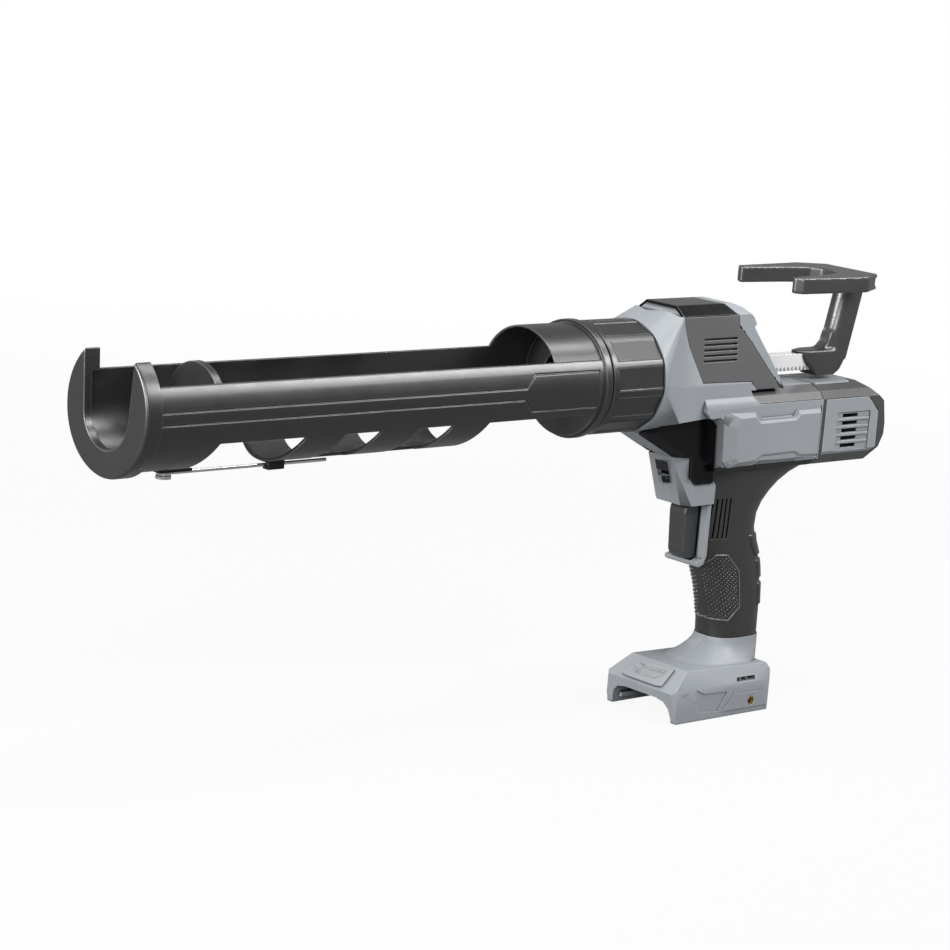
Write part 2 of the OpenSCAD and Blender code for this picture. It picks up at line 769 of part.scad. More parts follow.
module motor_band_zone() {
    side_prism([[seam_x, -band_low], [seam_x, -motor_top], [-143, -motor_top], [-149, -band_low]],
        17, big);
}

module belly_band_zone() {
    block([seam_x, 21.5, -motor_under - 1], [-118, big, -motor_under + 4.5]);
}

vent_side = [[seam_x - 3, -band_low], [-260, -band_low], [-272, -31.5], [-272.6, -56],
    [-265.5, -motor_under + 4.5], [seam_x - 3, -motor_under + 4.5]];
top_panel_plan = plan_pair([[seam_x - 3, 0], [seam_x - 3, 18], [-252, 18], [-258, 8], [-258, 0]]);

// The light's frame lies on the foot's front slope, the slide's frame on the nose.
slope_turn = atan2(foot_base - 21 - foot_top, 18);
module on_slope() {
    translate([-foot_front - 9, 0, -(foot_base - 21 + foot_top) / 2]) rotate([0, slope_turn, 0])
        children();
}
module on_nose() {
    translate([-88.5, 0, -56]) rotate([0, 112, 0]) children();
}
lens_plan = [[-4.5, -12], [0, -13], [4.5, -9], [4.5, 9], [0, 13], [-4.5, 12]];
slide_travel = 5;

// Room for the motor and its fan, shared by the housing and the rear cap.
module fan_room() {
    translate([0, 0, motor_z]) {
        bar_x(motor_back, motor_front, motor_d / 2);
        bar_x(rear_bearing_x, motor_back + 1, motor_d / 2 - 2);
    }
}

// Rooms for the drive between the housing halves.
module drive_rooms() {
    tip = 0.9 * rack_module + 0.8;
    slot = rack_w / 2 + 0.8;
    block([-200, -slot, rack_tip_z - 1], [0, slot, rack_tip_z + rack_h + 1]);
    bar_y(cross_x, pinion_z, -slot - 0.8, slot + 0.8, pinion_r + tip);
    bar_y(cross_x, pinion_z, wheel_y - 0.6, wheel_y + wheel_w + 0.3, wheel_r + tip);
    bar_y(cross_x, motor_z, wheel_y - 0.6, wheel_y + wheel_w + 0.3, small_r + tip);
    bar_y(cross_x, motor_z, crown_plane - 5.2, crown_plane + 1.8, crown_r + crown_face);
    for (z = [pinion_z, motor_z]) {
        bar_y(cross_x, z, right_bush_y + 1, left_bush_y + 1, shaft_r + 0.8);
        bar_y(cross_x, z, right_bush_y, right_bush_y + bush_w, bush_r);
        bar_y(cross_x, z, left_bush_y, left_bush_y + bush_w, bush_r);
    }
    translate([0, 0, motor_z]) {
        bar_x(gearbox_front - 1, cross_x, output_r + tip);
        bar_x(gearbox_back, gearbox_front, gearbox_d / 2);
        bar_x(motor_front - 0.1, gearbox_back + 0.1, rotor_shaft_r + 4);
    }
    fan_room();
    bar_x(neck_front - guide_t, neck_front + 1, neck_r - 3);
}

module trigger_rooms() {
    gap = trigger_half + run_gap;
    block([-124 - trigger_travel - 0.8, -gap, -129.5], [-105, gap, -89.9]);
    block([-153, -9, -127], [-124 - trigger_travel - 0.7, 9, -88]);
}

// Screw places in the side view, clear of everything that turns.
screw_places = [[-66, 24], [-118, 30], [-148, 12], [-118, -66], [-200, -72],
    [-162, -palm_top - 36], [-172, 11 - palm_low], [-182, -foot_top - 5.5]];
screw_r = 1.6;
screw_head_r = 3;
screw_seat = -12;

module screw_holes() {
    for (p = screw_places) {
        bar_y(p[0], p[1], screw_seat - 1, 8, screw_r + fit_gap);
        bar_y(p[0], p[1], -60, screw_seat, screw_head_r + 0.4);
    }
}

module insert_holes() {
    both_sides() bar_y(insert_x, insert_z, foot_half - insert_len - seat_gap, foot_half + 2,
        insert_r + seat_gap);
}

// Both halves before they are parted along the centre line.
module housing_solid() {
    difference() {
        union() {
            bar_x(-collar_back - 1, neck_front, neck_r);
            bar_x(-collar_back + 4.6, -collar_back + 10, spigot_r);
            flare();
            hump(0);
            motor_body(0);
            side_plates();
            nose();
            guard();
            // The grip's web ends under the rear cap
            difference() {
                grip_form(skin + seat_gap);
                block([-big, -big, -motor_under - seat_gap], [seam_x - 0.05, big, 0]);
            }
            neck();
            foot_form();
            both_sides() foot_plate();
            on_slope() translate([0, 0, -1]) linear_extrude(height = 2.4)
                polygon([[-8, -17], [8, -19], [9, -14], [9, 14], [8, 19], [-8, 17]]);
        }
        both_sides() difference() {
            cover_zone();
            hump(skin);
        }
        difference() {
            cap_zone();
            hump(skin);
        }
        both_sides() difference() {
            throat_zone();
            throat_form(skin);
        }
        both_sides() difference() {
            union() {
                motor_band_zone();
                belly_band_zone();
            }
            motor_body(skin);
        }
        drive_rooms();
        trigger_rooms();
        screw_holes();
        insert_holes();
        on_nose() block([4.5, -6, -4], [17, 6, 5]);
        on_slope() translate([0, 0, -6.5]) linear_extrude(height = 10) polygon(lens_plan);
        // Battery bay, open below and through an arch in front, and the room for the board above it
        block([-180, -bay_half, -foot_base - 1], [-foot_front - 18, bay_half, -foot_base + 18]);
        front_prism(mirrored([[bay_half - 13, arch_high], [bay_half - 6, arch_high - 1.5],
            [bay_half - 1.8, arch_high - 5.5], [bay_half, arch_high - 12], [bay_half, -foot_base - 1]]),
            -foot_front - 19, 0);
        block([-176, -22, -foot_base + 21], [-122, 22, -foot_base + 28]);
        both_sides() foot_relief();
    }
    both_sides() block([-178, bay_half - 3.5, -foot_base + 4], [-foot_front - 9, bay_half + 0.2,
        -foot_base + 7]);
}

module housing_left() {
    color("#8b8e92") intersection() {
        housing_solid();
        block([-big, 0, -big], [big, big, big]);
    }
}

module housing_right() {
    color("#8b8e92") intersection() {
        housing_solid();
        block([-big, -big, -big], [big, 0, big]);
    }
}

// Level slots through a side, counted down from the centre height of the top one.
module side_slots(x0, x1, z_top, pitch, height) {
    for (k = [0 : slot_count - 1])
        block([x0, 0, z_top - k * pitch - height / 2], [x1, big, z_top - k * pitch + height / 2]);
}

module hump_cover() {
    color("#3a3b3e") difference() {
        intersection() {
            hump(0);
            inside(seam) cover_zone();
        }
        hump(skin);
        side_slots(-128, -96, 24.9, 3.6, 1.4);
    }
}

module hump_cover_left() {
    hump_cover();
}

module hump_cover_right() {
    mirror([0, 1, 0]) difference() {
        hump_cover();
        for (p = screw_places) bar_y(p[0], p[1], 0, 60, screw_head_r + 0.4);
    }
}

module top_cap() {
    color("#151517") difference() {
        intersection() {
            hump(0);
            inside(seam, [0, 1, 0]) cap_zone();
        }
        hump(skin);
    }
}

module throat_panel() {
    color("#17181a") difference() {
        intersection() {
            throat_form(0);
            inside(seam) throat_zone();
        }
        throat_form(skin);
    }
}

module throat_panel_left() {
    throat_panel();
}

module throat_panel_right() {
    mirror([0, 1, 0]) throat_panel();
}

module motor_band() {
    color("#2b2c2f") difference() {
        intersection() {
            motor_body(0);
            inside(seam) motor_band_zone();
        }
        motor_body(skin);
    }
}

module motor_band_left() {
    motor_band();
}

module motor_band_right() {
    mirror([0, 1, 0]) motor_band();
}

module belly_band() {
    color("#1b1c1e") difference() {
        intersection() {
            motor_body(0);
            inside(seam) belly_band_zone();
        }
        motor_body(skin);
    }
}

module belly_band_left() {
    belly_band();
}

module belly_band_right() {
    mirror([0, 1, 0]) belly_band();
}

module rear_cap() {
    color("#2b2c2f") difference() {
        cap_body(0);
        fan_room();
        both_sides() {
            side_prism(vent_side, motor_half - skin, big);
            block([-253, 8, motor_z - 16], [-234, big, motor_z + 10]);
        }
        top_prism(top_panel_plan, -motor_top - skin, 0);
        translate([0, 0, motor_z]) bar_x(rear_bearing_x - 4, rear_bearing_x + 1, rotor_shaft_r + 4);
    }
}

// The louvres lie in a shallow field, with ribs standing between the slots.
module vent_panel() {
    field = [[-229.5, -30.4], [-263.4, -30.4], [-263.4, -57.4], [-229.5, -57.4]];
    color("#85888c") difference() {
        intersection() {
            cap_body(0);
            inside(seam) side_prism(vent_side, motor_half - skin, big);
        }
        side_slots(-251.5, -235.6, slot_top, slot_pitch, slot_h);
        difference() {
            side_prism(field, motor_half - 0.9, big);
            for (k = [0 : slot_count - 2]) translate([0, 0, slot_top - (k + 0.5) * slot_pitch])
                block([-262.5, 0, -0.9], [-229, big, 0.9]);
        }
    }
}

module vent_panel_left() {
    vent_panel();
}

module vent_panel_right() {
    mirror([0, 1, 0]) vent_panel();
}

module top_panel() {
    color("#7d8084") intersection() {
        cap_body(0);
        inside(seam, [0, 1, 0]) top_prism(top_panel_plan, -motor_top - skin, 0);
    }
}

module grip_rubber() {
    color("#1b1c1e") difference() {
        grip_form(0);
        grip_form(skin);
        block([-big, -big, -motor_under - 0.1], [0, big, 0]);
        block([-big, -big, -big], [0, big, neck_high + seat_gap]);
        nose();
        guard();
        block([-127.5, -guard_half, -126], [0, guard_half, -84]);
        side_prism(throat_side, -big, big);
        trigger_rooms();
        for (p = screw_places) bar_y(p[0], p[1], -60, 0, screw_head_r + 0.4);
        both_sides() for (k = [0 : slot_count - 1])
            block([-144.5 + 3.6 * k, 8, -115], [-143.1 + 3.6 * k, big, -86.5]);
    }
}

// Drive pieces.

module rod_guide() {
    slot = rack_w / 2 + 0.15;
    color("#4a4b4e") difference() {
        bar_x(neck_front - guide_t + seat_gap, neck_front, neck_r - 3 - seat_gap);
        block([-big, -slot, rack_tip_z - 0.15], [0, slot, rack_tip_z + rack_h + 0.15]);
    }
}

module rack_pinion() {
    color("#a7a9ac") {
        gear_y(cross_x, pinion_z, -rack_w / 2, rack_w / 2, pinion_teeth, 0);
        bar_y(cross_x, pinion_z, right_bush_y + 0.3, left_bush_y + bush_w - 0.3, shaft_r);
    }
}

module drive_wheel() {
    color("#8f8a7a") difference() {
        gear_y(cross_x, pinion_z, wheel_y, wheel_y + wheel_w, wheel_teeth, 0);
        bar_y(cross_x, pinion_z, 0, 20, shaft_r + fit_gap);
        for (k = [0 : 4]) translate([cross_x, 0, pinion_z]) rotate([0, 72 * k, 0])
            bar_y(wheel_r * 0.6, 0, 0, 20, 3);
    }
}

module crown_shaft() {
    tooth_half = tooth_pitch / 4 - backlash;
    low = tooth_half + 1.2 * rack_module * tan(20);
    high = tooth_half - 0.9 * rack_module * tan(20);
    small_phase = wheel_teeth % 2 == 0 ? 180 / small_teeth : 0;
    inner = crown_r - 0.7;
    outer = crown_r + 2.3;
    color("#a7a9ac") {
        bar_y(cross_x, motor_z, right_bush_y + 0.3, left_bush_y + bush_w - 0.3, shaft_r);
        gear_y(cross_x, motor_z, wheel_y, wheel_y + wheel_w, small_teeth, small_phase);
        difference() {
            bar_y(cross_x, motor_z, crown_plane - 1.2 * rack_module - 3, crown_plane + 0.9 * rack_module,
                outer);
            bar_y(cross_x, motor_z, crown_plane - 1.2 * rack_module, 0, outer + 1);
        }
        for (k = [0 : crown_teeth - 1])
            translate([cross_x, crown_plane, motor_z]) rotate([0, (k + 0.5) * 360 / crown_teeth, 0])
                translate([-outer, 0, 0]) rotate([90, 0, 90])
                    linear_extrude(height = outer - inner)
                        polygon([[-1.25 * rack_module, -low], [0.9 * rack_module, -high],
                            [0.9 * rack_module, high], [-1.25 * rack_module, low]]);
    }
}

module output_shaft() {
    color("#a7a9ac") translate([0, 0, motor_z]) {
        bar_x(gearbox_front - 18, output_x - 2, output_shaft_r);
        translate([output_x - 2.5, 0, 0]) rotate([90, 0, 90]) linear_extrude(height = 4.6)
            polygon([for (p = gear_points(output_teeth, backlash)) turned(p, 180)]);
    }
}

module gearbox_case() {
    color("#6d6f72") translate([0, 0, motor_z]) difference() {
        bar_x(gearbox_back + 0.1, gearbox_front - 0.1, gearbox_d / 2 - seat_gap);
        bar_x(gearbox_front - 18.5, gearbox_front + 1, output_shaft_r + fit_gap);
        bar_x(gearbox_back - 1, gearbox_back + 10.5, rotor_shaft_r + fit_gap);
        for (k = [0 : 5]) rotate([60 * k, 0, 0]) translate([0, gearbox_d / 2 - 3.5, 0])
            bar_x(gearbox_front - 6, gearbox_front + 1, 1.3);
    }
}

module motor_can() {
    color("#77797c") translate([0, 0, motor_z]) difference() {
        bar_x(motor_back + 0.1, motor_front - 0.1, motor_d / 2 - seat_gap);
        bar_x(motor_back + 3, motor_front - 3, motor_d / 2 - 6);
        bar_x(motor_back - 1, motor_front + 1, rotor_shaft_r + fit_gap);
        for (k = [0 : 3]) rotate([90 * k + 45, 0, 0])
            block([motor_back + 8, -4, motor_d / 2 - 8], [motor_back + 20, 4, motor_d]);
    }
}

module motor_rotor() {
    blades = 9;
    color("#b07a3c") translate([0, 0, motor_z]) {
        bar_x(rear_bearing_x - 2, gearbox_back + 10, rotor_shaft_r);
        bar_x(motor_back + 8, motor_front - 8, motor_d / 2 - 7.5);
        bar_x(fan_x - 2, fan_x, fan_r - 1);
        bar_x(fan_x - 2, fan_x + 5, 6);
        for (k = [0 : blades - 1]) rotate([360 / blades * k, 0, 0])
            block([fan_x - 1, -0.7, 5], [fan_x + 5, 0.7, fan_r - 1]);
    }
}

module rear_bearing() {
    color("#9a9c9f") translate([0, 0, motor_z]) difference() {
        bar_x(rear_bearing_x - 3.9, rear_bearing_x + 0.6, rotor_shaft_r + 4 - seat_gap);
        bar_x(rear_bearing_x - 5, rear_bearing_x + 2, rotor_shaft_r + fit_gap);
    }
}

module shaft_bushes() {
    color("#b08d57") for (z = [pinion_z, motor_z]) for (y = [right_bush_y, left_bush_y])
        difference() {
            bar_y(cross_x, z, y + 0.05, y + bush_w - 0.05, bush_r - seat_gap);
            bar_y(cross_x, z, y - 1, y + bush_w + 1, shaft_r + fit_gap);
        }
}

// Trigger, switch and slide.

module trigger() {
    color("#2a2b2e") {
        side_prism([[-113.5, -90.2], [-111, -93.5], [-110.6, -97], [-112.5, -124], [-114.5, -127.5],
            [-118, -129], [-123, -129], [-124, -127], [-124, -90.2]], -trigger_half, trigger_half);
        translate([0, 0, -100]) bar_x(-131, -123, 2.5);
    }
}

module switch_module() {
    color("#3c3d40") difference() {
        block([-152.9, -8.8, -126.8], [-132.8, 8.8, -88.2]);
        translate([0, 0, -100]) bar_x(-131 - trigger_travel - 3, -130, 2.5 + run_gap);
    }
}

module lock_slide() {
    color("#1b1c1e") on_nose() difference() {
        block([4.8, -6 + run_gap, -3.7], [11.5, 6 - run_gap, 0.6]);
        for (k = [0 : 3]) block([5.8 + 1.4 * k, -7, 0.1], [6.5 + 1.4 * k, 7, 1]);
    }
}

// Foot pieces.

module control_board() {
    low = -foot_base + 21.1;
    color("#3f6b4a") {
        block([-175.8, -21.8, low], [-122.2, 21.8, low + 1.6]);
        for (k = [0 : 2]) block([-168 + 16 * k, -8, low + 1.6], [-160 + 16 * k, 8, low + 5]);
    }
}

module light_board() {
    color("#dcdcd8") on_slope() {
        translate([0, 0, -6.4]) linear_extrude(height = 1.4) polygon(0.97 * lens_plan);
        for (y = [-5, 5]) translate([0, y, -5]) cylinder(h = 1.2, r = 1.8);
    }
}

module light_lens() {
    color([0.9, 0.92, 0.95, 0.5]) on_slope() translate([0, 0, -3.4]) linear_extrude(height = 5)
        polygon(0.985 * lens_plan);
}

module terminal_block() {
    roof = -foot_base + 18;
    color("#202124") difference() {
        block([-179.9, -17, roof - 9], [-150, 17, roof - 0.05]);
        for (y = [-12, -4, 4, 12]) block([-174, y - 0.8, roof - 7.5], [-140, y + 0.8, roof - 1.5]);
    }
}

module brass_inserts() {
    color("#b8923f") both_sides() difference() {
        bar_y(insert_x, insert_z, foot_half - insert_len, foot_half, insert_r);
        bar_y(insert_x, insert_z, foot_half - insert_len + 0.6, foot_half + 1, insert_bore_r);
    }
}

module housing_screws() {
    color("#8d8f92") for (p = screw_places) {
        bar_y(p[0], p[1], screw_seat, 7.8, screw_r);
        bar_y(p[0], p[1], screw_seat - 2.4, screw_seat, screw_head_r);
    }
}

carriage_frame();
front_yoke();
wire_plate();
wire_rivet();
wire_clip();
piercing_wire();
locking_collar();
rack_rod();
plunger_disc();
plunger_nut();
pull_handle();
handle_fork();
handle_screws();
housing_left();
housing_right();
hump_cover_left();
hump_cover_right();
top_cap();
throat_panel_left();
throat_panel_right();
motor_band_left();
motor_band_right();
belly_band_left();
belly_band_right();
rear_cap();
vent_panel_left();
vent_panel_right();
top_panel();
grip_rubber();
rod_guide();
rack_pinion();
drive_wheel();
crown_shaft();
output_shaft();
gearbox_case();
motor_can();
motor_rotor();
rear_bearing();
shaft_bushes();
trigger();
switch_module();
lock_slide();
control_board();
light_board();
light_lens();
terminal_block();
brass_inserts();
housing_screws();
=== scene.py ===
"""Looks of a cordless caulking tool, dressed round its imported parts.

X runs forward along the barrel, Y to the tool's left side and Z up. Blender's lengths are metres.
Places and sizes that were measured in millimetres are multiplied by MM.
"""

import json
import math

import bmesh
import bpy
from mathutils import Matrix, Vector, geometry
from mathutils.bvhtree import BVHTree


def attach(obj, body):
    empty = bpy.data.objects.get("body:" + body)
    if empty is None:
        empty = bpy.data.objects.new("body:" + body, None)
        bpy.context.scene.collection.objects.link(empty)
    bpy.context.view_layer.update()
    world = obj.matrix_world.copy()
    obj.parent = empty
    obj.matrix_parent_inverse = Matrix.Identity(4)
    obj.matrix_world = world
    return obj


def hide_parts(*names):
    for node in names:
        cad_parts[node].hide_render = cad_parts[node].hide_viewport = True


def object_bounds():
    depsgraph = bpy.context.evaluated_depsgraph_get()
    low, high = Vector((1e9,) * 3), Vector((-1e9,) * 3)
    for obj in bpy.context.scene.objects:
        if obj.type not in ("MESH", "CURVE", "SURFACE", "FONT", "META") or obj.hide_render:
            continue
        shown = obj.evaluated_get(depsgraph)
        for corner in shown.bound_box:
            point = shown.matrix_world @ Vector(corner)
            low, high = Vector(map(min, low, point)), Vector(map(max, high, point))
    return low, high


MM = 0.001

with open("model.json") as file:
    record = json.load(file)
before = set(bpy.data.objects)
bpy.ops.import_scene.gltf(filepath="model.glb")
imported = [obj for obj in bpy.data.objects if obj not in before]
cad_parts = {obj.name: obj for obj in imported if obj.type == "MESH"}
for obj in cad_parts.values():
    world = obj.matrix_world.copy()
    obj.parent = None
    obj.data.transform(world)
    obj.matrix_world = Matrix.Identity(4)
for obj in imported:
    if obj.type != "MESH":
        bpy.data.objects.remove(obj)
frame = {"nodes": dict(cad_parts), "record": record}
cad_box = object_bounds()
NODES = frame["nodes"]
BODY_OF = {node: body for body, nodes in frame["record"]["behaviour"]["bodies"].items()
           for node in nodes}


# Node trees, written as Python expressions.

class Value:
    """A node's output that takes part in Python expressions."""

    def __init__(self, nodes, socket):
        self.nodes = nodes
        self.socket = socket

    def math(self, operation, first, second):
        return self.nodes.node("ShaderNodeMath", {"operation": operation}, {0: first, 1: second})

    def __add__(self, other):
        return self.math("ADD", self, other)

    def __sub__(self, other):
        return self.math("SUBTRACT", self, other)

    def __rsub__(self, other):
        return self.math("SUBTRACT", other, self)

    def __mul__(self, other):
        return self.math("MULTIPLY", self, other)

    __radd__ = __add__
    __rmul__ = __mul__

    def maximum(self, other):
        return self.math("MAXIMUM", self, other)

    def step(self, low, high):
        """Rises smoothly from 0 to 1 between two levels."""
        return self.nodes.node("ShaderNodeMapRange", {"interpolation_type": "SMOOTHSTEP"},
                               {"Value": self, "From Min": low, "From Max": high})


class Nodes:
    """A node tree in the making, with one way to add a node and one to close the tree."""

    def __init__(self, tree, output):
        self.tree = tree
        tree.nodes.clear()
        self.output = tree.nodes.new(output)

    def plug(self, socket, value):
        if isinstance(value, Value):
            self.tree.links.new(value.socket, socket)
        else:
            socket.default_value = value

    def node(self, kind, settings, inputs, out=0):
        made = self.tree.nodes.new(kind)
        for key, value in settings.items():
            setattr(made, key, value)
        for key, value in inputs.items():
            self.plug(made.inputs[key], value)
        return Value(self, made.outputs[out])

    def ray_is(self, kind):
        return self.node("ShaderNodeLightPath", {}, {}, "Is %s Ray" % kind)

    def close(self, value):
        self.plug(self.output.inputs[0], value)


# Finishes.

# A Mix node's colour comes out of its third socket.
COLOUR_OUT = 2

# How far the rounded normal turns away from the flat one where an edge begins and where it is full.
EDGE_TURN = 0.005, 0.09

# Noise scales, per metre, and how rough fine noise is.
DRIFT_SCALE, WEAR_SCALE, SMUDGE_SCALE = 14, 60, 45
FINE = 0.6

# Plastic: seams and corners narrower than the reach, in metres, get painted shade. Tone and dullness
# drift a little, and edges get a painted highlight, patchy with wear, and shine more. Levels are
# where a step begins and ends.
PAINTED_SHADE_REACH, PAINTED_SHADE_LEVELS, PAINTED_SHADE_TONE = 0.003, (0.4, 0.9), 0.12
TONE_LEVELS, TONE_DRIFT, SPECK_SHARE = (0.25, 0.75), 0.07, 0.3
EDGE_HIGHLIGHT_WIDTH, EDGE_HIGHLIGHT_LEVELS, EDGE_GLOSS = 1.7, (0.15, 0.4), 0.08
WEAR_DULLS = 0.12

# Steel: painted shade in seams as above, an edge's radius in metres, and drawn lines and smudges.
STEEL_PAINTED_SHADE_REACH, STEEL_PAINTED_SHADE_LEVELS, STEEL_PAINTED_SHADE_TONE = 0.002, (0.3, 0.85), 0.05
STEEL_EDGE = 0.0002
SMUDGE_LEVELS, SMUDGE_SHADE = (0.3, 0.7), 0.9
LINES_DULL, SMUDGE_DULLS = 0.14, 0.08


class Finish(Nodes):
    """A material in the making."""

    def __init__(self, name):
        self.material = bpy.data.materials.new(name)
        self.material.use_nodes = True
        super().__init__(self.material.node_tree, "ShaderNodeOutputMaterial")

    def place(self):
        return self.node("ShaderNodeTexCoord", {}, {}, "Object")

    def noise(self, scale, detail, rough=0.5, place=None):
        return self.node("ShaderNodeTexNoise", {}, {
            "Vector": place or self.place(), "Scale": scale, "Detail": detail, "Roughness": rough})

    def stretched(self, scales):
        return self.node("ShaderNodeMapping", {}, {"Vector": self.place(), "Scale": scales})

    def blend(self, factor, first, second):
        """One colour where the factor is 0, passing to another where it is 1."""
        if isinstance(first, tuple):
            first = (*first, 1)
        if isinstance(second, tuple):
            second = (*second, 1)
        return self.node("ShaderNodeMix", {"data_type": "RGBA"},
                         {"Factor": factor, "A": first, "B": second}, COLOUR_OUT)

    def rounded(self, radius):
        return self.node("ShaderNodeBevel", {"samples": 6}, {"Radius": radius})

    def edges(self, radius):
        """1 along the piece's edges, within a radius in metres, and 0 on its faces."""
        plain = self.node("ShaderNodeNewGeometry", {}, {}, "Normal")
        turned = self.node("ShaderNodeVectorMath", {"operation": "DOT_PRODUCT"},
                           {0: plain, 1: self.rounded(radius)}, "Value")
        return (1 - turned).step(*EDGE_TURN)

    def open_sky(self, reach):
        """1 on open faces, falling towards 0 inside seams and corners narrower than the reach."""
        return self.node("ShaderNodeAmbientOcclusion", {"samples": 8}, {"Distance": reach}, "AO")

    def bumped(self, height, distance, normal):
        return self.node("ShaderNodeBump", {},
                         {"Height": height, "Distance": distance, "Normal": normal})

    def surface(self, **sockets):
        inputs = {key.replace("_", " "): value for key, value in sockets.items()}
        self.close(self.node("ShaderNodeBsdfPrincipled", {}, inputs))
        return self.material


def lighter(colour, share):
    """A colour times a share, which darkens it where the share is below 1."""
    return tuple(min(1.0, c * share) for c in colour)


# Edges get a painted highlight: their colour is the plain colour times the lift that each finish
# gives.
def moulded(name, colour, roughness, grain=0.00002, edge=0.0005, grain_scale=2600, highlight_lift=2.2,
            **more):
    """Moulded plastic: a fine grain, slow drifts of tone, painted shade in seams and a painted
    highlight on edges.
    """
    made = Finish(name)
    drift = made.noise(DRIFT_SCALE, 2)
    speck = made.noise(grain_scale, 2, FINE)
    tone = (drift * (1 - SPECK_SHARE) + speck * SPECK_SHARE).step(*TONE_LEVELS)
    wear = made.noise(WEAR_SCALE, 3)
    # Painted shade: seams and corners narrower than the reach are darkened.
    unshaded = made.open_sky(PAINTED_SHADE_REACH).step(*PAINTED_SHADE_LEVELS)
    # Painted highlight: edges are lightened, patchy with wear noise, but not inside the painted
    # shade.
    edge_highlight = made.edges(edge * EDGE_HIGHLIGHT_WIDTH) * wear.step(*EDGE_HIGHLIGHT_LEVELS) * unshaded
    body = made.blend(tone, lighter(colour, 1 - TONE_DRIFT), lighter(colour, 1 + TONE_DRIFT))
    shaded_body = made.blend(unshaded, lighter(colour, PAINTED_SHADE_TONE), body)
    return made.surface(
        Base_Color=made.blend(edge_highlight, shaded_body, lighter(colour, highlight_lift)),
        Roughness=(wear - 0.5) * WEAR_DULLS + roughness - edge_highlight * EDGE_GLOSS,
        Normal=made.bumped(speck, grain, made.rounded(edge)), **more)


def steel(name, colour, roughness, along=(20, 900, 900), depth=0.000004, metal=1.0):
    """Metal with fine lines, drawn out along the axis whose noise scale is the smallest."""
    made = Finish(name)
    lines = made.noise(1.0, 3, FINE, made.stretched(along))
    smudge = made.noise(SMUDGE_SCALE, 2)
    tone = made.blend(smudge.step(*SMUDGE_LEVELS), lighter(colour, SMUDGE_SHADE), colour)
    # Painted shade: seams and corners narrower than the reach are darkened.
    unshaded = made.open_sky(STEEL_PAINTED_SHADE_REACH).step(*STEEL_PAINTED_SHADE_LEVELS)
    uneven = lines * LINES_DULL + smudge * SMUDGE_DULLS
    return made.surface(
        Base_Color=made.blend(unshaded, lighter(colour, STEEL_PAINTED_SHADE_TONE), tone),
        Metallic=metal, Roughness=uneven + (roughness - (LINES_DULL + SMUDGE_DULLS) / 2),
        Normal=made.bumped(lines, depth, made.rounded(STEEL_EDGE)))


def clear_lens():
    """Clear moulded plastic that the light shines through."""
    made = Finish("clear_lens")
    return made.surface(Base_Color=(0.95, 0.97, 1.0, 1), Roughness=0.06, Transmission_Weight=0.9,
                        IOR=1.49, Normal=made.rounded(0.0004))


GREY = (0.162, 0.174, 0.186)
CHARCOAL = (0.0085, 0.0085, 0.009)
GRAPHITE = (0.060, 0.060, 0.062)

shell_grey = moulded("shell_grey", GREY, 0.42, grain=0.000012, highlight_lift=1.4, Specular_IOR_Level=0.3)
charcoal = moulded("charcoal_nylon", CHARCOAL, 0.33, grain=0.000008, edge=0.0007, highlight_lift=8.0,
                   Specular_IOR_Level=0.6)
graphite = moulded("graphite_cover", GRAPHITE, 0.34, grain=0.000008, highlight_lift=2.4,
                   Specular_IOR_Level=0.5)
handle_black = moulded("handle_black", (0.016, 0.016, 0.0165), 0.36, grain=0.000006,
                       edge=0.00001, highlight_lift=1.0, Specular_IOR_Level=0.8)
gloss_black = moulded("gloss_black", (0.003, 0.003, 0.0035), 0.16, grain=0.000002, highlight_lift=14.0,
                      Specular_IOR_Level=0.15)
black_plastic = moulded("black_plastic", (0.008, 0.008, 0.009), 0.36, highlight_lift=5.0,
                        Specular_IOR_Level=0.2)
cap_graphite = moulded("cap_graphite", lighter(GRAPHITE, 0.55), 0.34, grain=0.000008, highlight_lift=2.4,
                       Specular_IOR_Level=0.4)
grip_black = moulded("grip_rubber", (0.014, 0.014, 0.0145), 0.36, grain=0.00003, grain_scale=1500,
                     highlight_lift=4.0, Specular_IOR_Level=0.6)
# Studs and the patch's rim are a lighter grey than the grip: a painted highlight on their tips and
# rim.
stud_highlight_grey = moulded("stud_highlight_grey", GRAPHITE, 0.28, highlight_lift=2.5, Specular_IOR_Level=0.8)
# Near black, for the painted shade beads along seams and for the pocket floor.
near_black = moulded("near_black", (0.002, 0.002, 0.002), 0.6, Specular_IOR_Level=0.1)
bright_steel = steel("bright_steel", (0.62, 0.62, 0.63), 0.26)
rack_steel = steel("rack_steel", (0.80, 0.80, 0.81), 0.24, (12, 90, 90), depth=0.000001,
                   metal=0.55)
dark_steel = steel("dark_steel", (0.34, 0.34, 0.35), 0.34, (400, 400, 30))
zinc_cast = steel("zinc_cast", (0.45, 0.45, 0.46), 0.42, (500, 500, 500))
brass_turned = steel("brass_turned", (0.62, 0.42, 0.15), 0.26, (600, 40, 600))
sintered = steel("sintered_gear", (0.26, 0.24, 0.21), 0.48, (900, 900, 900))
winding = steel("winding_copper", (0.55, 0.24, 0.10), 0.35, (30, 900, 900))
board_green = moulded("board_green", (0.03, 0.12, 0.06), 0.3)
board_white = moulded("board_white", (0.75, 0.75, 0.72), 0.35)

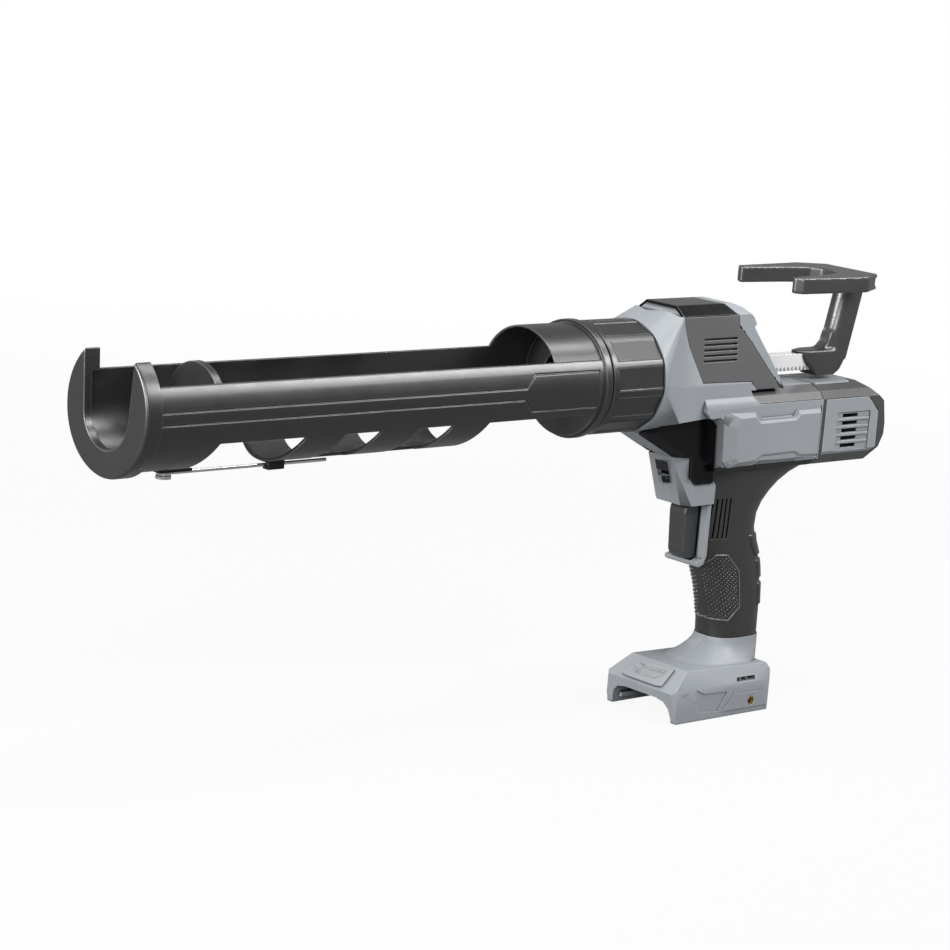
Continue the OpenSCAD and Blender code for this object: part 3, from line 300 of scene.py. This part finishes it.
FINISHES = {
    "carriage_frame": charcoal, "front_yoke": charcoal, "wire_plate": black_plastic,
    "wire_rivet": bright_steel, "wire_clip": black_plastic, "piercing_wire": bright_steel,
    "locking_collar": charcoal, "rack_rod": rack_steel, "plunger_disc": charcoal,
    "plunger_nut": bright_steel, "pull_handle": handle_black, "handle_fork": handle_black,
    "handle_screws": bright_steel, "housing_left": shell_grey, "housing_right": shell_grey,
    "hump_cover_left": graphite, "hump_cover_right": graphite, "top_cap": gloss_black,
    "throat_panel_left": gloss_black, "throat_panel_right": gloss_black,
    "motor_band_left": graphite, "motor_band_right": graphite, "belly_band_left": black_plastic,
    "belly_band_right": black_plastic, "rear_cap": cap_graphite, "vent_panel_left": shell_grey,
    "vent_panel_right": shell_grey, "top_panel": shell_grey, "grip_rubber": grip_black,
    "rod_guide": black_plastic, "rack_pinion": dark_steel, "drive_wheel": sintered,
    "crown_shaft": dark_steel, "output_shaft": dark_steel, "gearbox_case": zinc_cast,
    "motor_can": dark_steel, "motor_rotor": winding, "rear_bearing": bright_steel,
    "shaft_bushes": brass_turned, "trigger": handle_black, "switch_module": black_plastic,
    "lock_slide": black_plastic, "control_board": board_green, "light_board": board_white,
    "light_lens": clear_lens(), "terminal_block": black_plastic, "brass_inserts": brass_turned,
    "housing_screws": bright_steel}

for node, finish in FINISHES.items():
    mesh = NODES[node].data
    mesh.materials.clear()
    mesh.materials.append(finish)


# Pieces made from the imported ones, with eased edges and smooth rounds.

# In millimetres and degrees: how near corners merge, how flat a joint between faces vanishes,
# where an edge is eased, and where shading breaks.
MERGE = 0.002
FLAT_ANGLE, EASED_ANGLE, SHARP_ANGLE = 0.6, 17, 26

# An ease fits where its corners stay within STRAY widths of the plain piece. A corner that strays
# takes away the ease of each edge within STRAY_REACH widths, and the rest is tried again.
EASE_TRIES = 4
STRAY, STRAY_REACH = 0.75, 1.6


def link(name, data):
    made = bpy.data.objects.new(name, data)
    bpy.context.scene.collection.objects.link(made)
    return made


def smoothed(mesh, sharp=180):
    """Shades a mesh smoothly, apart from the edges that turn more than an angle in degrees."""
    for face in mesh.polygons:
        face.use_smooth = True
    if sharp < 180:
        mesh.set_sharp_from_angle(angle=math.radians(sharp))
    return mesh


def mesh_of(name, faces, finish):
    """A mesh with the given faces, which are freed, and one finish."""
    mesh = bpy.data.meshes.new(name)
    faces.to_mesh(mesh)
    faces.free()
    mesh.materials.append(finish)
    return mesh


def evaluated(piece):
    """A plain mesh of the piece as its modifiers leave it."""
    view = bpy.context.evaluated_depsgraph_get()
    view.update()
    return bpy.data.meshes.new_from_object(piece.evaluated_get(view))


def baked(piece):
    """The piece with its modifiers applied and removed."""
    mesh = evaluated(piece)
    piece.modifiers.clear()
    piece.data = mesh
    return piece


def outward(verts, faces):
    """A closed form's faces, all turned outwards."""
    made = bmesh.new()
    corners = [made.verts.new(v) for v in verts]
    for face in faces:
        made.faces.new([corners[i] for i in face])
    made.verts.index_update()
    bmesh.ops.recalc_face_normals(made, faces=made.faces)
    return made


def merged(node):
    """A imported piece's faces, joined where they touch and with flat areas made one."""
    faces = bmesh.new()
    faces.from_mesh(NODES[node].data)
    bmesh.ops.remove_doubles(faces, verts=faces.verts, dist=MERGE * MM)
    bmesh.ops.dissolve_limit(faces, angle_limit=math.radians(FLAT_ANGLE), verts=faces.verts,
                             edges=faces.edges)
    return faces


def eased_faces(plain, width, steps=2):
    """The faces with each sharp edge eased by a width, or None where no set of eases fits."""
    skin = BVHTree.FromBMesh(plain)
    keep = {e.index for e in plain.edges
            if len(e.link_faces) == 2 and e.calc_face_angle(0) > math.radians(EASED_ANGLE)}
    for _ in range(EASE_TRIES):
        made = plain.copy()
        made.edges.ensure_lookup_table()
        bmesh.ops.bevel(made, geom=[made.edges[i] for i in sorted(keep)], offset=width,
                        offset_type="OFFSET", segments=steps, profile=0.5, affect="EDGES",
                        clamp_overlap=False, loop_slide=True)
        near = [skin.find_nearest(v.co) for v in made.verts]
        stray = [point for point, _, _, far in near if far > width * STRAY]
        if not stray:
            return made
        made.free()
        plain.edges.ensure_lookup_table()
        lost = {i for i in keep if meets(plain.edges[i], stray, width * STRAY_REACH)}
        if not lost:
            break
        keep -= lost
    return None


def meets(edge, points, reach):
    """True where any of the points lies within reach of the edge."""
    a, b = (v.co for v in edge.verts)
    for point in points:
        share = min(1, max(0, geometry.intersect_point_line(point, a, b)[1]))
        if (a.lerp(b, share) - point).length < reach:
            return True
    return False


def dressed(node, finish, width):
    """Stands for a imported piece: the same form with edges eased by a width in millimetres."""
    plain = merged(node)
    made = eased_faces(plain, width * MM) or plain.copy()
    plain.free()
    bmesh.ops.remove_doubles(made, verts=made.verts, dist=MERGE * MM)
    mesh = smoothed(mesh_of(node + "_eased", made, finish), SHARP_ANGLE)
    piece = link(node + "_eased", mesh)
    weighted = piece.modifiers.new("weighted", "WEIGHTED_NORMAL")
    weighted.keep_sharp = True
    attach(piece, BODY_OF[node])
    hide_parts(node)


def worn_round(node, finish, grain, rounds):
    """Stands for an imported moulding: the same form with all its edges well rounded."""
    piece = link(node + "_rounded", mesh_of(node + "_rounded", merged(node), finish))
    skin = piece.modifiers.new("skin", "REMESH")
    skin.mode = "VOXEL"
    skin.voxel_size = grain * MM
    soften = piece.modifiers.new("soften", "SMOOTH")
    soften.factor = 0.5
    soften.iterations = rounds
    smoothed(baked(piece).data)
    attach(piece, BODY_OF[node])
    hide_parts(node)


# How wide each piece's edges are eased, in millimetres.
EASES = {
    "carriage_frame": 0.4, "front_yoke": 0.5, "locking_collar": 0.6, "plunger_disc": 0.5,
    "housing_left": 0.4, "housing_right": 0.4, "hump_cover_left": 0.4, "hump_cover_right": 0.4,
    "top_cap": 0.4, "throat_panel_left": 0.3, "throat_panel_right": 0.3, "motor_band_left": 0.35,
    "motor_band_right": 0.35, "belly_band_left": 0.35, "belly_band_right": 0.35, "rear_cap": 0.6,
    "vent_panel_left": 0.2, "vent_panel_right": 0.2, "top_panel": 0.5, "grip_rubber": 0.35,
    "lock_slide": 0.3}

# Grain in millimetres, and rounds of smoothing.
ROUNDS = {"pull_handle": (0.7, 24), "handle_fork": (0.7, 12), "trigger": (0.45, 45)}

for node, width in EASES.items():
    dressed(node, FINISHES[node], width)
for node, (grain, rounds) in ROUNDS.items():
    worn_round(node, FINISHES[node], grain, rounds)


# The photograph's view, also used to lay measured details on the surfaces seen in it.

FOCAL_PIXELS, PICTURE = 3034.805, 950
CAMERA_AT = Vector((1.3475712, 1.3785899, 0.316128))
CAMERA_YAW, CAMERA_PITCH, CAMERA_ROLL = -0.7447, 0.1971, 0.0846


def camera_turn():
    """The camera's own axes as a matrix: across, upward and backward."""
    yaw, pitch, roll = CAMERA_YAW, CAMERA_PITCH, CAMERA_ROLL
    ahead = Vector((math.cos(pitch) * math.sin(yaw), -math.cos(pitch) * math.cos(yaw),
                    -math.sin(pitch)))
    right = ahead.cross(Vector((0, 0, 1))).normalized()
    up = right.cross(ahead)
    across = right * math.cos(roll) + up * math.sin(roll)
    upward = up * math.cos(roll) - right * math.sin(roll)
    return Matrix((across, upward, -ahead)).transposed()


# Ways to meet the tool's skin, and pieces laid on it.

# Millimetres from the tool's middle to a place outside it, from which a ray starts.
OUTSIDE = 60

# Which way along Y each side lies.
SIDES = {"left": 1, "right": -1}


class Skin:
    """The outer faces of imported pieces. Each ray gives a point and its outward direction."""

    def __init__(self, *nodes):
        faces = bmesh.new()
        for node in nodes:
            faces.from_mesh(NODES[node].data)
        self.tree = BVHTree.FromBMesh(faces)
        faces.free()

    def from_side(self, x, z, side):
        """Met from one of the two sides, at a place in millimetres."""
        start = Vector((x * MM, side * OUTSIDE * MM, z * MM))
        return self.tree.ray_cast(start, Vector((0, -side, 0)))[:2]

    def from_camera(self, across, down, side):
        """Met at a place in the photograph; on the right side, the left one mirrored."""
        half = PICTURE / 2
        ray = camera_turn() @ Vector((across - half, half - down, -FOCAL_PIXELS))
        point, away = self.tree.ray_cast(CAMERA_AT, ray.normalized())[:2]
        if point is None:
            return None, None
        return Vector((point.x, point.y * side, point.z)), Vector((away.x, away.y * side, away.z))

    def round_back(self, axis, angle, z):
        """Met from behind, at an angle round an upright axis."""
        out = Vector((-math.cos(angle), math.sin(angle), 0))
        start = Vector((axis * MM, 0, z * MM)) + out * OUTSIDE * MM
        return self.tree.ray_cast(start, -out)[:2]


def stops_along(path, step):
    """Places about a step apart along a path, with its last place left out."""
    for (ax, az), (bx, bz) in zip(path, path[1:]):
        parts = max(1, round(math.hypot(bx - ax, bz - az) / step))
        for i in range(parts):
            yield ax + (bx - ax) * i / parts, az + (bz - az) * i / parts


def bead(name, meet, path, side, radius, finish, closed=False, step=1.2, lift=0.0):
    """A line laid on the tool, round in section. Its path is in the units that meet takes."""
    stops = path + path[:1] if closed else path
    places = list(stops_along(stops, step))
    if not closed:
        places.append(stops[-1])
    met = [meet(*place, side) for place in places]
    met = [p + n * lift * MM for p, n in met if p is not None]
    curve = bpy.data.curves.new(name, "CURVE")
    curve.dimensions = "3D"
    curve.bevel_depth = radius * MM
    curve.bevel_resolution = 2
    curve.use_fill_caps = True
    line = curve.splines.new("POLY")
    line.points.add(len(met) - 1)
    for point, place in zip(line.points, met):
        point.co = (*place, 1)
    line.use_cyclic_u = closed
    curve.materials.append(finish)
    piece = link(name, curve)
    mesh = evaluated(piece)
    bpy.data.objects.remove(piece)
    return link(name, smoothed(mesh))


# Millimetres that a sheet reaches under the skin, and degrees from which its edges stay sharp.
SHEET_DEPTH, SHEET_SHARP = 0.4, 50


def sheet(name, grid, finish):
    """A closed thin sheet over a grid of (point, outward direction, rise in millimetres)."""
    rows, columns = len(grid), len(grid[0])
    cells = [cell for row in grid for cell in row]
    count = len(cells)
    verts = [p + n * rise * MM for p, n, rise in cells]
    verts += [p - n * SHEET_DEPTH * MM for p, n, _ in cells]
    faces = []
    for i in range(rows - 1):
        for j in range(columns - 1):
            a = i * columns + j
            faces.append((a, a + 1, a + columns + 1, a + columns))
            faces.append((count + a, count + a + columns, count + a + columns + 1, count + a + 1))
    rim = ([(0, j) for j in range(columns)] + [(i, columns - 1) for i in range(1, rows)]
           + [(rows - 1, j) for j in range(columns - 2, -1, -1)]
           + [(i, 0) for i in range(rows - 2, 0, -1)])
    rim = [i * columns + j for i, j in rim]
    faces += [(a, count + a, count + b, b) for a, b in zip(rim, rim[1:] + rim[:1])]
    return link(name, smoothed(mesh_of(name, outward(verts, faces), finish), SHEET_SHARP))


# The grip's patch of studs.

# The patch and its raised rim, as outlines in the photograph.
PATCH = [(698.5, 561), (712.2, 559.1), (716.1, 555.3), (727.8, 555.3), (737.2, 568.9), (738.9, 572),
         (739.3, 606.7), (727.8, 620.6), (716.7, 619.4), (706.7, 617.8), (698.5, 612)]
PATCH_RIM = [(699.0, 563.4), (705.6, 562.2)] + PATCH[1:-1] + [(700.8, 614.5)]
RIM_RADIUS = 0.6

# Rows of studs go down the photograph and fall away on both sides of a leaning ridge. The patch's
# front margin leans too. Each lean is a place on the line and its shift for a pixel down.
STUD_ROWS, FIRST_ROW, STUD_ROW = 22, 549, 3.9
STUDS_EACH_SIDE, STUD_STEP, STUD_FALL = 9, 2.45, 2.0
RIDGE_AT, RIDGE_LEAN = (719.5, 557), 0.2
MARGIN_AT, MARGIN_LEAN = (701.5, 567), 0.14
PATCH_MARGIN = 2.2

# A stud's sizes in millimetres, and its top's width as a share of its foot's.
STUD_WIDTH, STUD_HEIGHT, STUD_TOP = 0.66, 0.9, 0.35


def stud_tree():
    """Geometry Nodes: a low four-sided stud on each point, turned to the point's own direction."""
    tree = bpy.data.node_groups.new("studs", "GeometryNodeTree")
    face = tree.interface
    face.new_socket("Geometry", in_out="INPUT", socket_type="NodeSocketGeometry")
    for name in ("Length", "Width", "Height"):
        face.new_socket(name, in_out="INPUT", socket_type="NodeSocketFloat")
    face.new_socket("Finish", in_out="INPUT", socket_type="NodeSocketMaterial")
    face.new_socket("Geometry", in_out="OUTPUT", socket_type="NodeSocketGeometry")
    nodes = Nodes(tree, "NodeGroupOutput")
    given = {name: nodes.node("NodeGroupInput", {}, {}, name)
             for name in ("Geometry", "Length", "Width", "Height", "Finish")}
    stud = nodes.node("GeometryNodeMeshCone", {}, {
        "Vertices": 4, "Radius Top": STUD_TOP, "Radius Bottom": 1.0, "Depth": 1.0})
    size = nodes.node("ShaderNodeCombineXYZ", {}, {
        "X": given["Length"], "Y": given["Width"], "Z": given["Height"]})
    sized = nodes.node("GeometryNodeTransform", {}, {"Geometry": stud, "Scale": size})
    away = nodes.node("GeometryNodeInputNamedAttribute", {"data_type": "FLOAT_VECTOR"},
                      {"Name": "away"})
    turn = nodes.node("FunctionNodeAlignRotationToVector", {"axis": "Z"}, {"Vector": away})
    placed = nodes.node("GeometryNodeInstanceOnPoints", {}, {
        "Points": given["Geometry"], "Instance": sized, "Rotation": turn})
    real = nodes.node("GeometryNodeRealizeInstances", {}, {"Geometry": placed})
    nodes.close(nodes.node("GeometryNodeSetMaterial", {}, {
        "Geometry": real, "Material": given["Finish"]}))
    return tree


def grown(piece, tree, **values):
    """The piece with a node tree's work on it, from the given values of the tree's inputs."""
    modifier = piece.modifiers.new("grown", "NODES")
    modifier.node_group = tree
    for item in tree.interface.items_tree:
        if item.in_out == "INPUT" and item.name in values:
            modifier[item.identifier] = values[item.name]
    return baked(piece)


def inside_outline(x, z, outline, margin):
    """True where a place lies inside an outline, farther than the margin from its edges."""
    odd = False
    for (ax, az), (bx, bz) in zip(outline, outline[1:] + outline[:1]):
        if (az > z) != (bz > z) and x < ax + (z - az) / (bz - az) * (bx - ax):
            odd = not odd
        dx, dz = bx - ax, bz - az
        share = min(1, max(0, ((x - ax) * dx + (z - az) * dz) / (dx * dx + dz * dz)))
        if math.hypot(x - ax - share * dx, z - az - share * dz) < margin:
            return False
    return odd


def leaning(at, lean, down):
    """How far across a leaning line is, at a place down the photograph."""
    return at[0] + (down - at[1]) * lean


def stud_places():
    """Chevron rows of studs inside the patch, as places in the photograph."""
    for row in range(STUD_ROWS):
        start = FIRST_ROW + row * STUD_ROW
        ridge = leaning(RIDGE_AT, RIDGE_LEAN, start)
        for k in range(-STUDS_EACH_SIDE, STUDS_EACH_SIDE):
            across = ridge + k * STUD_STEP
            down = start + abs(k) * STUD_FALL
            if across > leaning(MARGIN_AT, MARGIN_LEAN, down):
                if inside_outline(across, down, PATCH, PATCH_MARGIN):
                    yield across, down


def studs(name, skin, side, tree):
    """The patch's studs on one side."""
    found = [skin.from_camera(*place, side) for place in stud_places()]
    found = [(p, n) for p, n in found if p is not None]
    mesh = bpy.data.meshes.new(name)
    mesh.from_pydata([p for p, n in found], [], [])
    away = mesh.attributes.new("away", "FLOAT_VECTOR", "POINT")
    for i, (p, n) in enumerate(found):
        away.data[i].vector = n
    mesh.materials.append(grip_black)
    return grown(link(name, mesh), tree, Length=STUD_WIDTH * MM, Width=STUD_WIDTH * MM,
                 Height=STUD_HEIGHT * MM, Finish=stud_highlight_grey)


# Soft pads round the back of the grip.

# Each pad's top and low edge and the upright axis that it bends round, in millimetres, and how far
# it reaches round that axis at its top and low edge, in degrees.
PADS = [{"edges": (-114, -130.4), "axis": -157, "reach": (62, 42)},
        {"edges": (-132.4, -146.8), "axis": -158, "reach": (40, 38)},
        {"edges": (-149.2, -166), "axis": -160, "reach": (38, 36)}]
PAD_ROWS, PAD_COLUMNS = 14, 25

# A pad's height and rounding, how deep its outer edge is sunk, and the grip's radius behind.
PAD_HEIGHT, PAD_ROUND, PAD_SUNK = 1.1, 1.3, 0.2
GRIP_RADIUS = 21


def spread(first, last, count):
    """Evenly spaced values from the first to the last, both included."""
    return [first + (last - first) * i / (count - 1) for i in range(count)]


def pad(name, skin, edges, axis, reach):
    """A soft pad with rounded edges."""
    tall = abs(edges[0] - edges[1])
    grid = []
    for v in spread(0, 1, PAD_ROWS):
        z = edges[0] + (edges[1] - edges[0]) * v
        half = math.radians(reach[0] + (reach[1] - reach[0]) * v)
        row = []
        for u in spread(-1, 1, PAD_COLUMNS):
            point, away = skin.round_back(axis, u * half, z)
            edge = min(min(v, 1 - v) * tall, (1 - abs(u)) * half * GRIP_RADIUS)
            short = 1 - min(1, edge / PAD_ROUND)
            rise = PAD_HEIGHT * math.sqrt(1 - short ** 2) if edge > 0 else -PAD_SUNK
            row.append((point, away, rise))
        grid.append(row)
    return sheet(name, grid, grip_black)


def grip_work():
    """The patches with their rims on both sides, and the pads behind."""
    skin = Skin("grip_rubber")
    tree = stud_tree()
    for word, side in SIDES.items():
        yield studs("grip_studs_" + word, skin, side, tree)
        yield bead("grip_patch_rim_" + word, skin.from_camera, PATCH_RIM, side, RIM_RADIUS,
                   stud_highlight_grey)
    for k, places in enumerate(PADS):
        yield pad("grip_pad_%d" % (k + 1), skin, **places)


for piece in grip_work():
    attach(piece, BODY_OF["grip_rubber"])


# Black beads where covers and panels meet the shell: painted shade for the shadow in their gaps.

SHELL = ["housing_left", "housing_right", "rear_cap", "grip_rubber", "top_cap"] + [
    "%s_%s" % (cover, word) for word in SIDES
    for cover in ("hump_cover", "throat_panel", "motor_band", "belly_band", "vent_panel")]

# Paths on the tool's side, in millimetres.
SEAM_LINES = {
    "cover": [(-78.7, 29.9), (-81.9, 20.4), (-96, -4), (-143, -5), (-148.5, -11), (-173, -11),
              (-157, 5), (-142, 21.5), (-130, 32.2)],
    "motor_end": [(-210.6, -24), (-210.6, -62)],
    "cap_front": [(-216.2, -24), (-216.2, -62)]}
SEAM_RADIUS, SEAM_LIFT = 0.42, -0.1

# Where the skin is met for a seam: at the line and a little beside it.
PROBES = [(0, 0), (0.5, 0), (-0.5, 0), (0, 0.5), (0, -0.5)]


class Seams(Skin):
    """The shell's skin, met beside a joint line so that the line isn't lost in its gap."""

    def from_side(self, x, z, side):
        best = None, None
        for dx, dz in PROBES:
            point, away = super().from_side(x + dx, z + dz, side)
            if point is not None and (best[0] is None or point.y * side < best[0].y * side):
                best = point, away
        return best


def seam_lines():
    """A bead of painted shade along every seam, on both sides."""
    skin = Seams(*SHELL)
    for word, side in SIDES.items():
        for name, path in SEAM_LINES.items():
            yield bead("seam_%s_%s" % (name, word), skin.from_side, path, side, SEAM_RADIUS,
                       near_black, lift=SEAM_LIFT)


for line in seam_lines():
    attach(line, BODY_OF["housing_left"])


# The bevelled plate on each side of the motor housing.

# Its foot and its face as outlines seen from the side, and how far out the foot's two loops and
# the face are, all in millimetres.
PLATE_FOOT = [(-116, -31.5), (-120.5, -24.3), (-145, -24.6), (-150, -29.2), (-183, -29.0),
              (-187, -25), (-209.5, -25), (-209.5, -60.4), (-190, -60.0), (-185, -57.2),
              (-154, -57.6), (-147, -61.0), (-123.5, -62.0), (-118, -57.5)]
PLATE_FACE = [(-126.5, -34.5), (-129.5, -28.0), (-143.2, -28.0), (-148.5, -32.6), (-184.5, -32.2),
              (-188.5, -28.4), (-208.5, -28.4), (-208.5, -56.8), (-191.5, -56.4), (-186, -53.6),
              (-153, -54.0), (-146.2, -57.4), (-130.0, -58.2), (-127.5, -55.0)]
PLATE_LOOPS = [(PLATE_FOOT, 28.6), (PLATE_FOOT, 30.0), (PLATE_FACE, 33.0)]
PLATE_EASE, PLATE_EASED_ANGLE = 0.35, 10


def raised_plate(name, side):
    """Loops joined into one closed form, with its edges eased, apart from its hidden foot."""
    count = len(PLATE_FOOT)
    verts = [(x * MM, side * y * MM, z * MM) for outline, y in PLATE_LOOPS for x, z in outline]
    faces = [tuple(reversed(range(count))), tuple(range(len(verts) - count, len(verts)))]
    for low in range(0, len(verts) - count, count):
        for i in range(count):
            j = (i + 1) % count
            faces.append((low + i, low + j, low + count + j, low + count + i))
    made = outward(verts, faces)
    eased = [e for e in made.edges if e.calc_face_angle(0) > math.radians(PLATE_EASED_ANGLE)
             and any(v.index >= count for v in e.verts)]
    bmesh.ops.bevel(made, geom=eased, offset=PLATE_EASE * MM, segments=2, profile=0.5,
                    affect="EDGES", clamp_overlap=True)
    return link(name, mesh_of(name, made, shell_grey))


for word, side in SIDES.items():
    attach(raised_plate("motor_plate_" + word, side), BODY_OF["housing_left"])


# The slide's surroundings on the nose.

# The nose's own axes: where they start, in millimetres, and how far they turn, in degrees.
NOSE_AT, NOSE_TURN = Vector((-88.5, 0, -56)), 112

# The dark floor of the slide's pocket, in millimetres along the nose's axes.
POCKET_MIDDLE = Vector((10.75, 0, -3.86))
POCKET_SIZE = Vector((12.4, 11.9, 0.2))

# The dark field under the pocket, by its corners in the photograph: upper ones, then lower ones.
FIELD_UPPER = Vector((660.6, 475.6)), Vector((669.8, 476.5))
FIELD_LOWER = Vector((662.8, 482.0)), Vector((670.4, 482.9))
FIELD_ROWS, FIELD_COLUMNS, FIELD_RISE = 7, 6, 0.25

# The frame's raised edge round both, in the photograph, with its radius in millimetres.
FRAME_PATH = [(656.2, 459.5), (668.6, 460.6), (671.4, 482.6), (663.0, 483.6), (658.8, 478.6)]
FRAME_RADIUS = 0.4


def pocket_floor():
    """Dark floor of the slide's pocket."""
    nose = (Matrix.Translation(NOSE_AT * MM) @ Matrix.Rotation(math.radians(NOSE_TURN), 4, "Y")
            @ Matrix.Translation(POCKET_MIDDLE * MM)
            @ Matrix.Diagonal((*(POCKET_SIZE * MM), 1)))
    made = bmesh.new()
    bmesh.ops.create_cube(made, size=1.0, matrix=nose)
    return link("slide_pocket_floor", mesh_of("slide_pocket_floor", made, near_black))


def slide_field(skin):
    """Dark lower field under the slide's pocket."""
    grid = []
    for v in spread(0, 1, FIELD_ROWS):
        grid.append([])
        for u in spread(0, 1, FIELD_COLUMNS):
            upper = FIELD_UPPER[0].lerp(FIELD_UPPER[1], u)
            lower = FIELD_LOWER[0].lerp(FIELD_LOWER[1], u)
            point, away = skin.from_camera(*upper.lerp(lower, v), SIDES["left"])
            grid[-1].append((point, away, FIELD_RISE))
    return sheet("slide_field", grid, gloss_black)


def slide_frame(skin):
    """The frame's raised edge round the pocket and the field."""
    return bead("slide_frame", skin.from_camera, FRAME_PATH, SIDES["left"], FRAME_RADIUS,
                graphite, closed=True, step=1.0)


housing_skin = Skin("housing_left", "housing_right")
for piece in (pocket_floor(), slide_field(housing_skin), slide_frame(housing_skin)):
    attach(piece, BODY_OF["housing_left"])


# Studio: floor, lights, world and the camera at the photograph's view.

# How bright rays that mirror see the white floor and background. All other rays that look see
# them at full strength.
MIRRORED = 0.35

# The floor's own tone, its half width and how far it lies under the tool, in metres.
FLOOR_TONE, FLOOR_HALF, FLOOR_DROP = 0.3, 40.0, 0.0006

# The floor shows a little of its shade near the tool, up to the first distance, and none beyond
# the second.
SHADE_NEAR, SHADE_FAR, SHADE_SHARE = 0.5, 2.0, 0.08

# What the background adds to the light.
WORLD_FILL = 0.05

WHITE = (1, 1, 1, 1)

# Each softbox: its place, what it faces, its size and its power.
SOFTBOXES = {
    "top_box": ((-0.5, 0.30, 1.3), (-0.5, 0, 0), (2.4, 0.35), 28),
    "key_box": ((1.5, 1.25, 0.75), (-0.1, 0, -0.1), (0.5, 0.7), 36),
    "rear_side_box": ((-0.85, 0.80, 0.70), (-0.85, 0, 0.1), (1.2, 0.24), 24),
    "front_box": ((1.5, -0.1, 0.35), (0.1, 0, 0), (0.3, 0.7), 42),
    "right_fill": ((0.1, -1.4, 0.8), (0, 0, 0), (1.2, 0.5), 10)}


def backdrop_finish():
    """Pale floor that the camera sees as white and reflections see dimmer, with the tool's soft
    shadow.
    """
    made = Finish("pale_floor")
    mirrored = made.ray_is("Glossy")
    seen = made.ray_is("Camera").maximum(made.ray_is("Transmission")).maximum(mirrored)
    strength = 1 - mirrored * (1 - MIRRORED)
    diffuse = made.node("ShaderNodeBsdfDiffuse", {}, {"Color": (*[FLOOR_TONE] * 3, 1)})
    glow = made.node("ShaderNodeEmission", {}, {"Color": WHITE, "Strength": strength})
    away = made.node("ShaderNodeVectorMath", {"operation": "LENGTH"}, {0: made.place()}, "Value")
    white = away.step(SHADE_NEAR, SHADE_FAR) * SHADE_SHARE + (1 - SHADE_SHARE)
    made.close(made.node("ShaderNodeMixShader", {}, {"Fac": seen * white, 1: diffuse, 2: glow}))
    return made.material


def floor():
    """A flat floor just under the tool."""
    half, low = FLOOR_HALF, cad_box[0][2] - FLOOR_DROP
    mesh = bpy.data.meshes.new("floor")
    mesh.from_pydata([(-half, -half, low), (half, -half, low), (half, half, low), (-half, half, low)],
                     [], [(0, 1, 2, 3)])
    mesh.materials.append(backdrop_finish())
    link("floor", mesh)


def softbox(name, place, aim, size, power):
    """A rectangular lamp that the camera doesn't see."""
    lamp = bpy.data.lights.new(name, "AREA")
    lamp.shape = "RECTANGLE"
    lamp.size, lamp.size_y = size
    lamp.energy = power
    made = link(name, lamp)
    made.location = place
    made.rotation_euler = (Vector(aim) - Vector(place)).to_track_quat("-Z", "Y").to_euler()
    made.visible_camera = False


def world_light():
    """White to rays that look, dimmer to those that mirror, and a faint fill to the rest."""
    world = bpy.data.worlds.new("studio")
    bpy.context.scene.world = world
    world.use_nodes = True
    nodes = Nodes(world.node_tree, "ShaderNodeOutputWorld")
    seen = nodes.ray_is("Camera").maximum(nodes.ray_is("Transmission"))
    shown = seen.maximum(nodes.ray_is("Glossy") * MIRRORED)
    strength = shown * (1 - WORLD_FILL) + WORLD_FILL
    nodes.close(nodes.node("ShaderNodeBackground", {}, {"Color": WHITE, "Strength": strength}))


def camera():
    """The camera that took the photograph."""
    lens = bpy.data.cameras.new("camera")
    lens.sensor_width = 36.0
    lens.lens = FOCAL_PIXELS / PICTURE * lens.sensor_width
    lens.clip_end = 50
    made = link("camera", lens)
    made.matrix_world = Matrix.Translation(CAMERA_AT) @ camera_turn().to_4x4()
    bpy.context.scene.camera = made


floor()
for name, (place, aim, size, power) in SOFTBOXES.items():
    softbox(name, place, aim, size, power)
world_light()
camera()
bpy.context.scene.view_settings.view_transform = "Standard"
